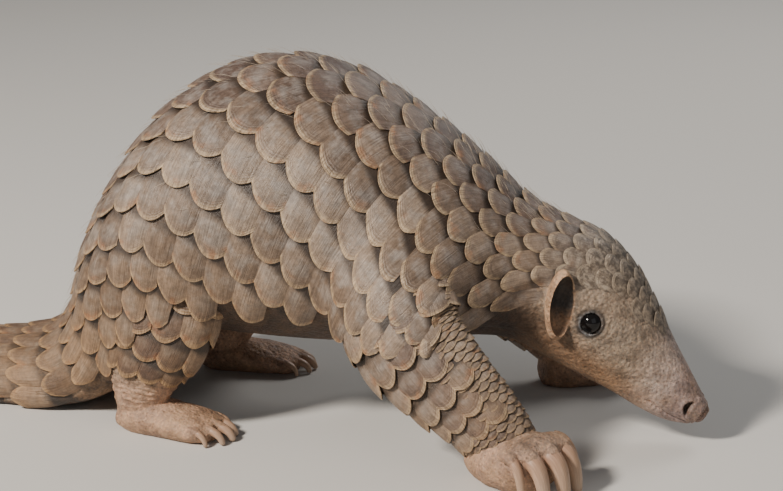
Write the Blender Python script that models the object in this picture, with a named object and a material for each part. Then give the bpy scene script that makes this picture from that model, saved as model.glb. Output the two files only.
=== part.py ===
"""Chinese pangolin, life size, as a still museum model: walking with its back arched and its snout low.

The head, trunk and tail are one loft through named stations, parted into nodes by thin plane cuts.
Every scale is a plate raised in staggered rows, whose free edge overhangs the row behind it.
Metres, +Z up, snout towards +X, feet and tail on Z = 0.
"""
import math
import random

import bmesh
import bpy
import numpy as np
from mathutils import Matrix, Vector

# All sizes below are in millimetres, on an animal whose withers stand near X = 0. Angles are in degrees.
MM = 0.001
CLEARANCE = 0.3
ROOM_OVER_SCALES = 0.65

# Frame: the middle of the whole model's box lies over the origin.
MIDDLE_X = -145.4
MIDDLE_Y = 0.0

# Body stations from nose to tail tip, on the skin under the scales: back point x and z, belly point x and z,
# half width, how far down from the back the widest level lies, and the power that squares the belly.
STATIONS = {
    "nose_tip": (153.2, 15.8, 150.4, 11.2, 3.4, 0.5, 1.0),
    "nose": (151.6, 20.5, 145.0, 9.6, 6.6, 0.5, 0.95),
    "muzzle": (145.4, 32.0, 134.0, 10.2, 9.4, 0.5, 0.9),
    "snout": (136.6, 47.8, 121.5, 15.2, 13.6, 0.5, 0.9),
    "cheek": (126.8, 66.4, 106.5, 23.6, 19.0, 0.52, 0.9),
    "brow": (116.6, 83.2, 91.5, 30.6, 22.8, 0.52, 0.9),
    "ear": (101.6, 97.0, 75.0, 38.5, 25.5, 0.5, 0.9),
    "nape": (84.6, 103.2, 60.0, 45.5, 27.5, 0.5, 0.9),
    "neck": (64.8, 111.8, 41.0, 46.0, 33.0, 0.5, 0.9),
    "withers": (39.0, 132.6, 18.0, 42.5, 42.5, 0.5, 0.88),
    "shoulder": (12.8, 150.8, -4.0, 40.5, 50.0, 0.5, 0.86),
    "chest": (-14.8, 166.1, -24.0, 39.5, 55.0, 0.5, 0.86),
    "hump": (-45.0, 173.0, -45.0, 39.5, 59.0, 0.5, 0.86),
    "loin": (-79.3, 167.1, -66.0, 40.5, 62.0, 0.5, 0.86),
    "hip": (-110.3, 145.2, -84.0, 42.0, 63.0, 0.5, 0.86),
    "croup": (-133.6, 113.4, -98.0, 39.0, 60.0, 0.5, 0.86),
    "rump": (-148.3, 82.8, -109.0, 30.0, 54.0, 0.52, 0.8),
    "tail_root": (-156.6, 54.6, -123.0, 15.0, 46.5, 0.58, 0.7),
    "tail_base": (-168.5, 36.6, -146.0, 3.0, 41.0, 0.68, 0.5),
    "tail_near": (-192.0, 27.2, -178.0, -0.8, 37.5, 0.74, 0.42),
    "tail_second": (-232.0, 22.0, -226.0, -0.8, 33.5, 0.76, 0.4),
    "tail_middle": (-290.0, 17.5, -288.0, -0.8, 28.0, 0.76, 0.4),
    "tail_fourth": (-350.0, 13.2, -350.0, -0.8, 22.0, 0.76, 0.4),
    "tail_thin": (-405.0, 9.2, -405.0, -0.8, 15.5, 0.76, 0.4),
    "tail_end": (-436.0, 6.2, -436.0, -0.8, 9.0, 0.74, 0.4),
    "tail_tip": (-444.0, 4.2, -444.0, 0.6, 3.6, 0.6, 0.6),
}
# The tail swings to the animal's right, from its root to its tip.
TAIL_SWING = -42.0
TAIL_SWING_START, TAIL_SWING_END = -150.0, -444.0

# Scales at each station: length shown, how far round from the back their columns reach, and how far
# round they stand up from the skin. On the head only the crown has them.
SCALE_SIZES = {
    "nose_tip": (7.0, 120, 10),
    "nose": (7.0, 120, 10),
    "muzzle": (7.0, 120, 10),
    "snout": (7.0, 120, 18),
    "cheek": (7.0, 118, 40),
    "brow": (7.5, 114, 50),
    "ear": (8.5, 110, 58),
    "nape": (10.5, 110, 84),
    "neck": (12.5, 114, 120),
    "withers": (13.5, 118, 180),
    "shoulder": (14.5, 120, 180),
    "chest": (15.5, 120, 180),
    "hump": (16.5, 120, 180),
    "loin": (18.0, 119, 180),
    "hip": (19.5, 117, 180),
    "croup": (19.5, 115, 180),
    "rump": (18.5, 110, 180),
    "tail_root": (17.0, 102, 180),
    "tail_base": (16.5, 94, 180),
    "tail_near": (16.0, 90, 180),
    "tail_second": (15.5, 88, 180),
    "tail_middle": (15.0, 88, 180),
    "tail_fourth": (14.0, 88, 180),
    "tail_thin": (12.5, 88, 180),
    "tail_end": (9.0, 86, 180),
    "tail_tip": (7.0, 86, 180),
}
# The solids' scales are a little longer than the real ones, to keep them fewer.
SCALES_COARSER = 1.1
FIRST_SCALES = 3.9
LAST_SCALES_BEFORE_TIP = 6.0
RELIEF_FADE = 9.0
LEAST_RELIEF = 0.07

# One scale, lengthwise in shares of the length it shows, measured from its tip towards its root.
TIP_DEPTH = 0.36
ROUND_DEPTH = 0.11
ROUND_WIDTH = 0.3
OVERHANG = 0.1
# Where two nodes part, between the free edges of two rows.
PARTED_AT = 0.68
# Heights of one scale over the skin.
TIP_HEIGHT = 3.2
FALL_TO_ROOT = 1.9
SIDE_FALL = 0.8
LENGTH_VARIATION = 0.05
HEIGHT_VARIATION = 0.25
LEAST_HEIGHT = 0.2
BARE_STRIPS = 5
# On a grown body: how far its free edges move back for each millimetre it grows, and their share of overhang.
GROWN_PAST, GROWN_OVERHANG = 1.4, -0.02

# Where each node of the loft starts, as a count of stations from the nose, and its columns of scales.
BODY_NODES = {
    "head": (0.0, 9),
    "neck": (7.0, 13),
    "chest": (9.2, 13),
    "back": (11.6, 13),
    "rump": (14.2, 13),
    "tail_1": (17.2, 7),
    "tail_2": (19.2, 5),
    "tail_3": (20.7, 5),
    "tail_4": (22.1, 5),
}
HEAD_RINGS = (0.0, 0.5, 1.1, 1.8, 2.6)

# Limb stations, the near side's, in order from the body to the foot: centre, half depth along the
# animal, half thickness across it.
FORELEG = {
    "shoulder": (12.0, 35.0, 103.0, 24.0, 12.0),
    "upper_arm": (14.0, 54.0, 82.0, 28.0, 14.0),
    "elbow": (25.0, 64.0, 60.0, 26.5, 14.5),
    "forearm": (42.0, 68.0, 44.0, 22.5, 13.5),
    "low_forearm": (58.0, 70.5, 31.0, 18.5, 12.5),
    "wrist": (70.0, 72.0, 20.0, 15.5, 12.0),
    "palm": (77.0, 73.0, 13.0, 12.0, 10.0),
}
HINDLEG = {
    "hip": (-104.0, 27.0, 88.0, 33.0, 13.0),
    "thigh": (-99.0, 42.0, 67.0, 31.0, 15.0),
    "knee": (-100.0, 48.0, 49.0, 25.0, 14.5),
    "shank": (-106.0, 49.5, 33.0, 19.0, 13.5),
    "ankle": (-109.0, 49.5, 19.0, 14.5, 12.0),
    "sole": (-109.0, 49.5, 9.0, 12.0, 10.5),
}
# Paw stations along each paw's own axis: distance along, height of the centre, half height, half width.
FOREPAW = {
    "heel": (-17.0, 9.5, 9.0, 9.0),
    "wrist": (-9.0, 10.2, 12.5, 14.0),
    "palm": (3.0, 11.0, 13.5, 17.0),
    "knuckles": (15.0, 12.5, 14.0, 17.5),
    "toes": (23.0, 15.0, 11.5, 15.5),
    "front": (27.0, 16.5, 6.5, 11.0),
}
HINDPAW = {
    "heel": (-14.0, 7.5, 6.5, 8.0),
    "ankle": (-6.0, 7.6, 9.5, 11.5),
    "instep": (8.0, 7.0, 9.0, 13.0),
    "ball": (24.0, 5.7, 7.5, 14.5),
    "toes": (33.0, 4.7, 5.8, 13.0),
    "front": (37.0, 4.6, 3.4, 9.5),
}
FOREPAW_PLACE, FOREPAW_TURN = (72.0, 72.5), 30.0
HINDPAW_PLACE, HINDPAW_TURN = (-106.0, 50.0), 8.0
# The animal's left limbs stand a little further on than its right ones.
LEFT_STRIDE = {"fore": 5.0, "hind": 6.0}

# Limb scales: length shown, columns, reach round from the outer side, first and last row in stations.
FORELEG_SCALES = {"length": 14.0, "columns": 4, "reach": 100.0, "first": 0.6, "last": 5.1}
HINDLEG_SCALES = {"length": 14.0, "columns": 4, "reach": 100.0, "first": 0.6, "last": 3.9}
BARE_AFTER_LAST_ROW = 0.25

# Claws of each paw from its inner to its outer toe: place across the paw, length, half width at the base.
FORE_CLAWS = {
    "1": (-15.5, 21.5, 2.4),
    "2": (-9.0, 26.5, 4.0),
    "3": (1.0, 29.0, 4.5),
    "4": (10.8, 27.0, 4.1),
    "5": (17.3, 21.5, 2.4),
}
HIND_CLAWS = {
    "1": (-11.5, 8.0, 1.7),
    "2": (-6.0, 12.0, 2.2),
    "3": (0.0, 13.5, 2.5),
    "4": (6.2, 12.0, 2.2),
    "5": (11.5, 8.0, 1.7),
}
CLAW_RINGS, CLAW_SIDES = 5, 6
PAW_RINGS, PAW_SIDES = 8, 12
FORE_CLAW_HEIGHT, HIND_CLAW_HEIGHT = 20.5, 7.0
CLAW_LEAST_REACH, CLAW_SPREAD = 3.5, 1.12
# How far behind the paw's front a claw is rooted, and how much further its outer neighbours are.
CLAW_ROOT, CLAW_ROOT_ROUNDING = 4.0, 0.3
# The claw's curve: share of the reach and of the base height at its bend, and the share that fore claws reach.
CLAW_BEND_REACH, CLAW_BEND_HEIGHT, FORE_CLAW_UPRIGHT = 0.95, 1.1, 0.6
CLAW_TIP_HEIGHT, CLAW_TAPER, CLAW_TAPER_POWER, CLAW_FLATNESS = 0.3, 0.66, 1.6, 0.85

# Head.
EYE_STATION, EYE_ANGLE, EYE_RADIUS, EYE_SUNK = 5.27, 86.0, 5.2, 2.2
EYE_SEGMENTS, EYE_RINGS = 12, 8
LID_RADIUS, LID_THICKNESS, LID_LENGTHENED, LID_LIFT = 5.4, 1.1, 1.1, 0.2
LID_STEPS, LID_SIDES = 12, 5
# The ear's rim leans back at its foot by the turn.
EAR_STATION, EAR_ANGLE, EAR_TURN = 6.15, 88.0, -18.0
EAR_SIZE, EAR_LIFT = (6.5, 7.0, 17.0), 1.5
EAR_CUP_SIZE, EAR_CUP_PLACE = (5.0, 6.0, 11.0), (2.6, 2.6, 0.5)
NOSTRIL_STATION, NOSTRIL_ANGLE, NOSTRIL_SIZE = 1.62, 84.0, (1.5, 2.4, 3.2)
MOUTH_PATH = ((0.55, 180.0), (0.75, 152.0), (1.2, 134.0), (1.8, 126.0), (2.4, 122.0), (2.9, 118.0))
MOUTH_OUTSIDE, MOUTH_DEPTH, MOUTH_HEIGHT = 3.0, 2.2, 0.8
LIP_THICKNESS, LIP_DEPTH, LIP_HEIGHT = 0.9, 2.0, 3.6

SKIN_COLOUR = (0.42, 0.30, 0.24, 1.0)
SCALE_COLOUR = (0.21, 0.17, 0.14, 1.0)
CLAW_COLOUR = (0.50, 0.36, 0.28, 1.0)
EYE_COLOUR = (0.01, 0.008, 0.008, 1.0)

# Facets that a Boolean splits are joined again where they meet flatter than this.
FLAT_ANGLE = math.radians(2.0)


def catmull_rom(rows, t):
    """The smooth curve through the rows at t, counted in rows."""
    last = len(rows) - 1
    t = min(max(t, 0.0), float(last))
    i = min(int(t), last - 1)
    u = t - i
    before, start, end, after = (rows[min(max(i + k, 0), last)] for k in (-1, 0, 1, 2))
    slope_in = (end - before) / 2
    slope_out = (after - start) / 2
    return (
        start * (2 * u**3 - 3 * u**2 + 1)
        + slope_in * (u**3 - 2 * u**2 + u)
        + end * (3 * u**2 - 2 * u**3)
        + slope_out * (u**3 - u**2)
    )


class Tube:
    """A smooth body through stations: points on it are given by t, in stations, and an angle round it."""

    def __init__(self, stations):
        self.rows = np.array(list(stations.values()), float)

    def normals(self, t, angles):
        step = 0.01
        along = self.points(t + step, angles) - self.points(t - step, angles)
        around = self.points(t, angles + step) - self.points(t, angles - step)
        normals = np.cross(around, along)
        normals /= np.linalg.norm(normals, axis=1)[:, None]
        outward = self.points(t, angles) - self.points(t, np.linspace(0, 2 * math.pi, 9)[:8]).mean(axis=0)
        return normals * np.sign((normals * outward).sum(axis=1))[:, None]

    def skin(self, t, angles, lift=0.0):
        """Points on the skin, raised by lift."""
        angles = np.asarray(angles, float)
        points = self.points(t, angles)
        if lift:
            points = points + lift * self.normals(t, angles)
        return points

    def even_angles(self, t, start, end, shares):
        """Angles between start and end at the given shares of the way along the skin."""
        angles = np.linspace(start, end, 61)
        steps = np.linalg.norm(np.diff(self.points(t, angles), axis=0), axis=1)
        lengths = np.concatenate([[0.0], np.cumsum(steps)])
        return np.interp(np.asarray(shares) * lengths[-1], lengths, angles)

    def scaled_angles(self, t, shares):
        """Angles at shares of the band of scales, from -0.5 to 0.5."""
        reach = math.radians(self.reach(t))
        return self.even_angles(t, -reach, reach, np.asarray(shares) + 0.5)

    def bare_angles(self, t):
        """Angles that divide the bare skin evenly, from one edge of the scales on to the other."""
        reach = math.radians(self.reach(t))
        return self.even_angles(t, reach, 2 * math.pi - reach, np.arange(1, BARE_STRIPS) / BARE_STRIPS)

    def even_ring(self, t, sides, lift=0.0):
        """One ring of points, evenly spaced round the tube."""
        angles = np.linspace(0, 2 * math.pi, 121)
        steps = np.linalg.norm(np.diff(self.points(t, angles), axis=0), axis=1)
        lengths = np.concatenate([[0.0], np.cumsum(steps)])
        even = np.interp(np.arange(sides) / sides * lengths[-1], lengths, angles)
        return self.skin(t, even, lift)

    def length_between(self, start, end):
        line = np.array([self.points(t, np.array([0.0]))[0] for t in np.linspace(start, end, 40)])
        return np.linalg.norm(np.diff(line, axis=0), axis=1).sum()


class Body(Tube):
    """Head, trunk and tail. Angle 0 is the middle of the back."""

    def points(self, t, angles):
        back_x, back_z, belly_x, belly_z, half_width, level, square = catmull_rom(self.rows, t)
        back = np.array([back_x, 0.0, back_z])
        down = np.array([belly_x, 0.0, belly_z]) - back
        sine, cosine = np.sin(angles), np.cos(angles)
        power = np.where(cosine < 0, square, 1.0)
        across = half_width * np.sign(sine) * np.abs(sine) ** power
        part = np.where(cosine < 0, level + (1 - level) * np.abs(cosine) ** power, level * (1 - cosine))
        points = back + part[:, None] * down
        points[:, 1] = across
        swing = np.clip((points[:, 0] - TAIL_SWING_START) / (TAIL_SWING_END - TAIL_SWING_START), 0, 1)
        points[:, 1] += TAIL_SWING * swing**2
        return points

    def reach(self, t):
        reaches = [size[1] for size in SCALE_SIZES.values()]
        return np.interp(t, np.arange(len(reaches)), reaches)

    def relief(self, t, angle):
        """How much the scales stand up at a place on the skin, from 0 to 1."""
        edges = [size[2] for size in SCALE_SIZES.values()]
        edge = np.interp(t, np.arange(len(edges)), edges)
        return min(max((edge - abs(math.degrees(angle))) / RELIEF_FADE, LEAST_RELIEF), 1.0)

    def cut_normal(self, t):
        """Unit normal of the section plane at t, towards the tail."""
        back_x, back_z, belly_x, belly_z = catmull_rom(self.rows, t)[:4]
        normal = np.array([belly_z - back_z, 0.0, back_x - belly_x])
        return normal / np.linalg.norm(normal)


class Limb(Tube):
    """A leg on one side of the body. Angle 0 is its outer side."""

    def __init__(self, stations, side, stride, scales):
        super().__init__(stations)
        self.rows[:, 0] += stride
        self.rows[:, 1] *= side
        self.side = side
        self.scales = scales

    def points(self, t, angles):
        x, y, z, depth, thickness = catmull_rom(self.rows, t)
        path = catmull_rom(self.rows, min(t + 0.05, len(self.rows) - 1.0)) - catmull_rom(self.rows, max(t - 0.05, 0))
        path = path[:3] / np.linalg.norm(path[:3])
        outward = np.array([0.0, self.side, 0.0])
        outward = outward - path * (outward @ path)
        outward /= np.linalg.norm(outward)
        forward = np.cross(outward, path) * self.side
        centre = np.array([x, y, z])
        return (
            centre
            + thickness * np.cos(angles)[:, None] * outward
            + depth * np.sin(angles)[:, None] * forward
        )

    def reach(self, t):
        return self.scales["reach"]

    def relief(self, t, angle):
        return 1.0

    def scale_rows(self):
        rows = []
        tip = self.scales["first"]
        while tip < self.scales["last"]:
            step = self.scales["length"] / self.length_between(tip - 0.5, tip + 0.5)
            rows.append((tip, step, self.scales["length"]))
            tip += step
        return rows


class Paw(Tube):
    """A paw on the floor, along its own level axis, turned outwards. Angle 0 is its top."""

    def __init__(self, stations, side, place, turn, stride):
        super().__init__(stations)
        self.side = side
        turn = math.radians(turn)
        self.origin = np.array([place[0] + stride, place[1] * side, 0.0])
        self.ahead = np.array([math.cos(turn), math.sin(turn) * side, 0.0])
        self.across = np.array([-math.sin(turn), math.cos(turn) * side, 0.0])

    def place(self, along, across, height):
        return self.origin + along * self.ahead + across * self.across + np.array([0.0, 0.0, height])

    def points(self, t, angles):
        along, height, half_height, half_width = catmull_rom(self.rows, t)
        up = np.array([0.0, 0.0, 1.0])
        return (
            self.place(along, 0.0, height)
            + half_height * np.cos(angles)[:, None] * up
            + half_width * np.sin(angles)[:, None] * self.across
        )


def in_frame(points):
    """Millimetres of the design to metres of the part's frame."""
    return (np.asarray(points, float) - (MIDDLE_X, MIDDLE_Y, 0.0)) * MM


def mesh_object(name, points, faces, collection):
    mesh = bpy.data.meshes.new(name)
    shape = bmesh.new()
    verts = [shape.verts.new(point) for point in in_frame(points)]
    for face in faces:
        shape.faces.new([verts[i] for i in face])
    bmesh.ops.triangulate(shape, faces=shape.faces)
    bmesh.ops.recalc_face_normals(shape, faces=shape.faces)
    shape.to_mesh(mesh)
    shape.free()
    obj = bpy.data.objects.new(name, mesh)
    collection.objects.link(obj)
    return obj


def loft(name, rings, collection):
    """A closed body through rings of equally many points, with flat ends."""
    sides = len(rings[0])
    faces = [list(range(sides)), [(len(rings) - 1) * sides + i for i in range(sides)]]
    for ring in range(len(rings) - 1):
        low = ring * sides
        for i in range(sides):
            j = (i + 1) % sides
            faces.append([low + i, low + j, low + sides + j, low + sides + i])
    points = np.concatenate(rings)
    points[:, 2] = np.maximum(points[:, 2], 0.0)
    return mesh_object(name, points, faces, collection)


def boolean(obj, others, operation, solver="EXACT"):
    """Applies one Boolean with all the others, which are then removed."""
    operands = bpy.data.collections.new("operands")
    bpy.context.scene.collection.children.link(operands)
    for other in others:
        for owner in list(other.users_collection):
            owner.objects.unlink(other)
        operands.objects.link(other)
    modifier = obj.modifiers.new("Boolean", "BOOLEAN")
    modifier.operation = operation
    modifier.operand_type = "COLLECTION"
    modifier.collection = operands
    modifier.solver = solver
    graph = bpy.context.evaluated_depsgraph_get()
    mesh = bpy.data.meshes.new_from_object(obj.evaluated_get(graph))
    obj.modifiers.clear()
    obj.data = mesh
    for other in others:
        bpy.data.objects.remove(other)
    bpy.data.collections.remove(operands)
    keep_largest(obj)


def keep_largest(obj):
    """Leaves only the largest closed surface of the object."""
    shape = bmesh.new()
    shape.from_mesh(obj.data)
    bmesh.ops.triangulate(shape, faces=shape.faces)
    unseen = set(shape.verts)
    groups = []
    while unseen:
        group = {unseen.pop()}
        edge = list(group)
        while edge:
            vert = edge.pop()
            for link in vert.link_edges:
                other = link.other_vert(vert)
                if other in unseen:
                    unseen.discard(other)
                    group.add(other)
                    edge.append(other)
        groups.append(group)

    def box_size(group):
        points = np.array([vert.co for vert in group])
        return np.ptp(points, axis=0).prod()

    groups.sort(key=box_size)
    for group in groups[:-1]:
        bmesh.ops.delete(shape, geom=list(group), context="VERTS")
    bmesh.ops.dissolve_limit(shape, angle_limit=FLAT_ANGLE, verts=shape.verts, edges=shape.edges)
    bmesh.ops.triangulate(shape, faces=shape.faces)
    shape.to_mesh(obj.data)
    shape.free()


def body_rows(body):
    """Each row of scales from the crown to the tail tip: t of the tips, t and millimetres of the shown length."""
    lengths = [size[0] for size in SCALE_SIZES.values()]
    stations = np.arange(len(lengths))
    grid = np.linspace(FIRST_SCALES - 1.0, stations[-1], 800)
    back = np.array([body.points(t, np.array([0.0]))[0] for t in grid])
    run = np.concatenate([[0.0], np.cumsum(np.linalg.norm(np.diff(back, axis=0), axis=1))])
    rows = []
    at = np.interp(FIRST_SCALES, grid, run)
    while at < run[-1] - LAST_SCALES_BEFORE_TIP:
        tip = np.interp(at, run, grid)
        length = SCALES_COARSER * np.interp(tip, stations, lengths)
        rows.append((tip, tip - np.interp(at - length, run, grid), length))
        at += length
    return rows


def scale_height(along, aside):
    """Height of a scale's outer face, at shares of its shown length from the tip and its width from the middle."""
    return TIP_HEIGHT - FALL_TO_ROOT * along - SIDE_FALL * (2 * aside) ** 2


def scale_places(index, columns):
    """Places along the free edges of one row: half columns across, share of the length, share of the width."""
    places = []
    for half in range(2 * columns + 1):
        middle = (half + index) % 2 == 1
        places.append((half, 0.0, 0.0) if middle else (half, TIP_DEPTH, 0.5))
        if half < 2 * columns:
            shift = 2 * ROUND_WIDTH if middle else 1 - 2 * ROUND_WIDTH
            places.append((half + shift, ROUND_DEPTH, ROUND_WIDTH))
    return places


def edge_lines(tube, row, index, columns, grow):
    """The free edges of one row of scales: their upper line, and their lower line on the next row.

    Grown ones stand further back and don't overhang, so that they hold the true ones with room all round.
    """
    tip, step, length = row
    past = GROWN_PAST * grow / length
    places = scale_places(index, columns)
    scales = draw_scales(index, columns)
    upper, lower = [], []
    for number, (half, along, aside) in enumerate(places):
        longer, higher = scales[min(int((half + index % 2) / 2), columns)] if aside < 0.5 else (0.0, 0.0)
        share = half / (2 * columns) - 0.5
        under = 0.0 if number in (0, len(places) - 1) else OVERHANG
        if grow:
            under = GROWN_OVERHANG
        for line, back, height in (
            (upper, along + longer - past, scale_height(along, aside) + higher),
            (lower, along + longer - past + under, scale_height(1 + along + max(under, 0), 0.5 - aside)),
        ):
            t = tip - back * step
            angle = tube.scaled_angles(t, [share])
            line.append(tube.skin(t, angle, max(height, LEAST_HEIGHT) * tube.relief(t, angle[0]) + grow)[0])
    return np.array(upper), np.array(lower)


def draw_scales(index, columns):
    """Seeded differences in length and height of the scales of one row."""
    draw = random.Random(100 * columns + index)
    return [
        (draw.uniform(-LENGTH_VARIATION, LENGTH_VARIATION), draw.uniform(-HEIGHT_VARIATION, 0.0))
        for _ in range(columns + 1)
    ]


def ring_line(tube, t, columns, grow, row=None, index=0):
    """A ring across the tube: on the bare skin, or on the outer faces of the given row."""
    line = []
    for half, along, aside in scale_places(index, columns):
        angle = tube.scaled_angles(t, [half / (2 * columns) - 0.5])
        height = 0.0
        if row:
            height = scale_height((row[0] - t) / row[1], aside) * tube.relief(t, angle[0])
        line.append(tube.skin(t, angle, height + grow)[0])
    return np.array(line)


def flatten(line, t, tube, shift):
    """Moves the points of a ring onto the section plane at t, shifted towards the tail."""
    normal = tube.cut_normal(t)
    spot = tube.points(t, np.array([0.0]))[0] + shift * normal
    return line - ((line - spot) @ normal)[:, None] * normal


def scaled_tube(tube, name, columns, start, end, rows, collection, grow=0.0):
    """A closed stretch of a tube with its rows of scales. start and end are lists of (t, row or None, index, shift)."""
    lines = []

    def bare(t):
        return tube.skin(t, tube.bare_angles(t), grow)

    def add_rings(rings):
        for t, row, index, shift in rings:
            ring = np.concatenate([ring_line(tube, t, columns, grow, row, index), bare(t)])
            if shift is not None:
                ring = flatten(ring, t, tube, shift)
            lines.append(("ring", index, ring))

    add_rings(start)
    for index, row in rows:
        upper, lower = edge_lines(tube, row, index, columns, grow)
        lines.append(("upper", index, np.concatenate([upper, bare(row[0] - TIP_DEPTH * row[1])])))
        lines.append(("lower", index, lower))
    add_rings(end)

    across = 4 * columns + 1
    around = across + BARE_STRIPS - 1
    points, faces, before = [], [], None
    count = 0
    for kind, index, line in lines:
        indices = list(range(count, count + len(line)))
        if kind == "lower":
            indices += before[across:]
        points.append(line)
        count += len(line)
        if before:
            stop = across - 1 if kind == "lower" else around
            for i in range(stop):
                j = (i + 1) % around
                corners = [before[i], before[j], indices[j], indices[i]]
                # The two halves of a scale are split along diagonals that mirror each other.
                if (i // 2 + index) % 2:
                    corners = corners[1:] + corners[:1]
                faces.append((corners[0], corners[1], corners[2]))
                faces.append((corners[0], corners[2], corners[3]))
            if kind == "lower":
                faces.append((before[across - 1], before[across], indices[across - 1]))
                faces.append((before[-1], before[0], indices[0]))
        else:
            faces.append(tuple(indices))
        before = indices
    faces.append(tuple(before))
    points = np.concatenate(points)
    points[:, 2] = np.maximum(points[:, 2], 0.0)
    return mesh_object(name, points, faces, collection)


def tube_core(tube, name, sides, rings, collection, lift=0.0):
    last = len(tube.rows) - 1
    return loft(
        name, [tube.even_ring(t, sides, lift) for t in np.linspace(0, last, rings)], collection
    )


def ellipsoid(name, centre, axes, sizes, collection, segments=14, rings=9):
    """A sphere stretched along three axes, which are the columns of its frame."""
    mesh = bpy.data.meshes.new(name)
    shape = bmesh.new()
    bmesh.ops.create_uvsphere(shape, u_segments=segments, v_segments=rings, radius=1.0)
    frame = Matrix([[axes[k][row] * sizes[k] * MM for k in range(3)] for row in range(3)]).to_4x4()
    frame.translation = Vector(in_frame(centre))
    shape.transform(frame)
    if frame.determinant() < 0:
        bmesh.ops.reverse_faces(shape, faces=shape.faces)
    bmesh.ops.triangulate(shape, faces=shape.faces)
    shape.to_mesh(mesh)
    shape.free()
    obj = bpy.data.objects.new(name, mesh)
    collection.objects.link(obj)
    return obj


def surface_frame(body, station, angle):
    """A point on the skin, with its axes: forward along the head, outward, and up round the head."""
    angle = np.array([math.radians(angle)])
    spot = body.points(station, angle)[0]
    outward = body.normals(station, angle)[0]
    up = body.points(station, np.array([0.0]))[0] - body.points(station, np.array([math.pi]))[0]
    up = up - outward * (up @ outward)
    up /= np.linalg.norm(up)
    forward = np.cross(outward, up)
    if forward[0] < 0:
        forward = -forward
    return spot, forward, outward, up


def make_eye(body, side, name, collection, radius=EYE_RADIUS):
    spot, forward, outward, up = surface_frame(body, EYE_STATION, side * EYE_ANGLE)
    return ellipsoid(name, spot - EYE_SUNK * outward, (forward, up, outward), (radius,) * 3, collection, EYE_SEGMENTS, EYE_RINGS)


def make_lid(body, side, collection):
    """The almond rim round one eye: a small circle swept round it."""
    spot, forward, outward, up = surface_frame(body, EYE_STATION, side * EYE_ANGLE)
    rings = []
    for i in range(LID_STEPS):
        turn = 2 * math.pi * i / LID_STEPS
        radial = LID_LENGTHENED * math.cos(turn) * forward + math.sin(turn) * up
        middle = spot + LID_RADIUS * radial + LID_LIFT * outward
        ring = []
        for j in range(LID_SIDES):
            bend = 2 * math.pi * j / LID_SIDES
            ring.append(middle + LID_THICKNESS * (math.cos(bend) * radial + math.sin(bend) * outward))
        rings.append(ring)
    points = np.array(rings).reshape(-1, 3)
    faces = []
    for i in range(LID_STEPS):
        for j in range(LID_SIDES):
            a, b = i * LID_SIDES, (i + 1) % LID_STEPS * LID_SIDES
            k = (j + 1) % LID_SIDES
            faces.append((a + j, a + k, b + k, b + j))
    return mesh_object("lid", points, faces, collection)


def mouth_stations():
    left = [(t, -angle) for t, angle in MOUTH_PATH[:0:-1]]
    return left + list(MOUTH_PATH)


def mouth_ribbon(body, collection, outer, inner, height):
    """A band along the line of the mouth, from corner to corner round the front."""
    rings = []
    for t, angle in mouth_stations():
        angles = np.array([math.radians(angle)])
        spot = body.points(t, angles)[0]
        outward = body.normals(t, angles)[0]
        ahead = body.points(0, np.array([0.0]))[0] - body.points(5, np.array([0.0]))[0]
        run = np.cross(outward, ahead)
        along = np.cross(run, outward)
        along /= np.linalg.norm(along)
        across = along if abs(angle) > 170 else run / np.linalg.norm(run)
        if across[2] < 0:
            across = -across
        rings.append(
            np.array(
                [
                    spot + outer * outward + height / 2 * across,
                    spot + outer * outward - height / 2 * across,
                    spot - inner * outward - height / 2 * across,
                    spot - inner * outward + height / 2 * across,
                ]
            )
        )
    return loft("mouth", rings, collection)


def make_ear(body, side, name, collection):
    spot, ahead, outward, above = surface_frame(body, EAR_STATION, side * EAR_ANGLE)
    turn = math.radians(EAR_TURN)
    forward = math.cos(turn) * ahead - math.sin(turn) * above
    up = math.cos(turn) * above + math.sin(turn) * ahead
    centre = spot + EAR_LIFT * outward
    ear = ellipsoid(name, centre, (forward, outward, up), EAR_SIZE, collection, 12, 9)
    shift = EAR_CUP_PLACE
    cup_centre = centre + shift[0] * forward + shift[1] * outward + shift[2] * up
    cup = ellipsoid("cup", cup_centre, (forward, outward, up), EAR_CUP_SIZE, collection, 9, 6)
    boolean(ear, [cup], "DIFFERENCE")
    return ear


def make_claw(paw, claw, name, collection, fore):
    """A horn claw, curved forward and down to the floor, wider than it is thick."""
    across, length, half_width = claw
    front = paw.rows[-2][0]
    base_height = FORE_CLAW_HEIGHT if fore else HIND_CLAW_HEIGHT
    reach = math.sqrt(max(length**2 - base_height**2, CLAW_LEAST_REACH**2))
    reach *= FORE_CLAW_UPRIGHT if fore else 1.0
    spread = across * CLAW_SPREAD
    start = paw.place(front - CLAW_ROOT - abs(across) * CLAW_ROOT_ROUNDING, across, base_height)
    bend = paw.place(front + reach * CLAW_BEND_REACH, spread, base_height * CLAW_BEND_HEIGHT)
    end = paw.place(front + reach, spread, CLAW_TIP_HEIGHT)
    rings = []
    for i in range(CLAW_RINGS):
        u = i / (CLAW_RINGS - 1)
        centre = start * (1 - u) ** 2 + bend * 2 * u * (1 - u) + end * u**2
        path = (bend - start) * (1 - u) + (end - bend) * u
        path /= np.linalg.norm(path)
        side = np.cross(path, [0.0, 0.0, 1.0])
        side = side - path * (side @ path)
        side /= np.linalg.norm(side)
        over = np.cross(side, path)
        size = half_width * (1 - CLAW_TAPER * u**CLAW_TAPER_POWER)
        angles = np.arange(CLAW_SIDES) / CLAW_SIDES * 2 * math.pi
        thick = CLAW_FLATNESS * size
        rings.append(centre + size * np.cos(angles)[:, None] * side + thick * np.sin(angles)[:, None] * over)
    return loft(name, rings, collection)


def material(name, colour, roughness):
    made = bpy.data.materials.new(name)
    made.use_nodes = True
    shader = made.node_tree.nodes["Principled BSDF"]
    shader.inputs["Base Color"].default_value = colour
    shader.inputs["Roughness"].default_value = roughness
    return made


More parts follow.
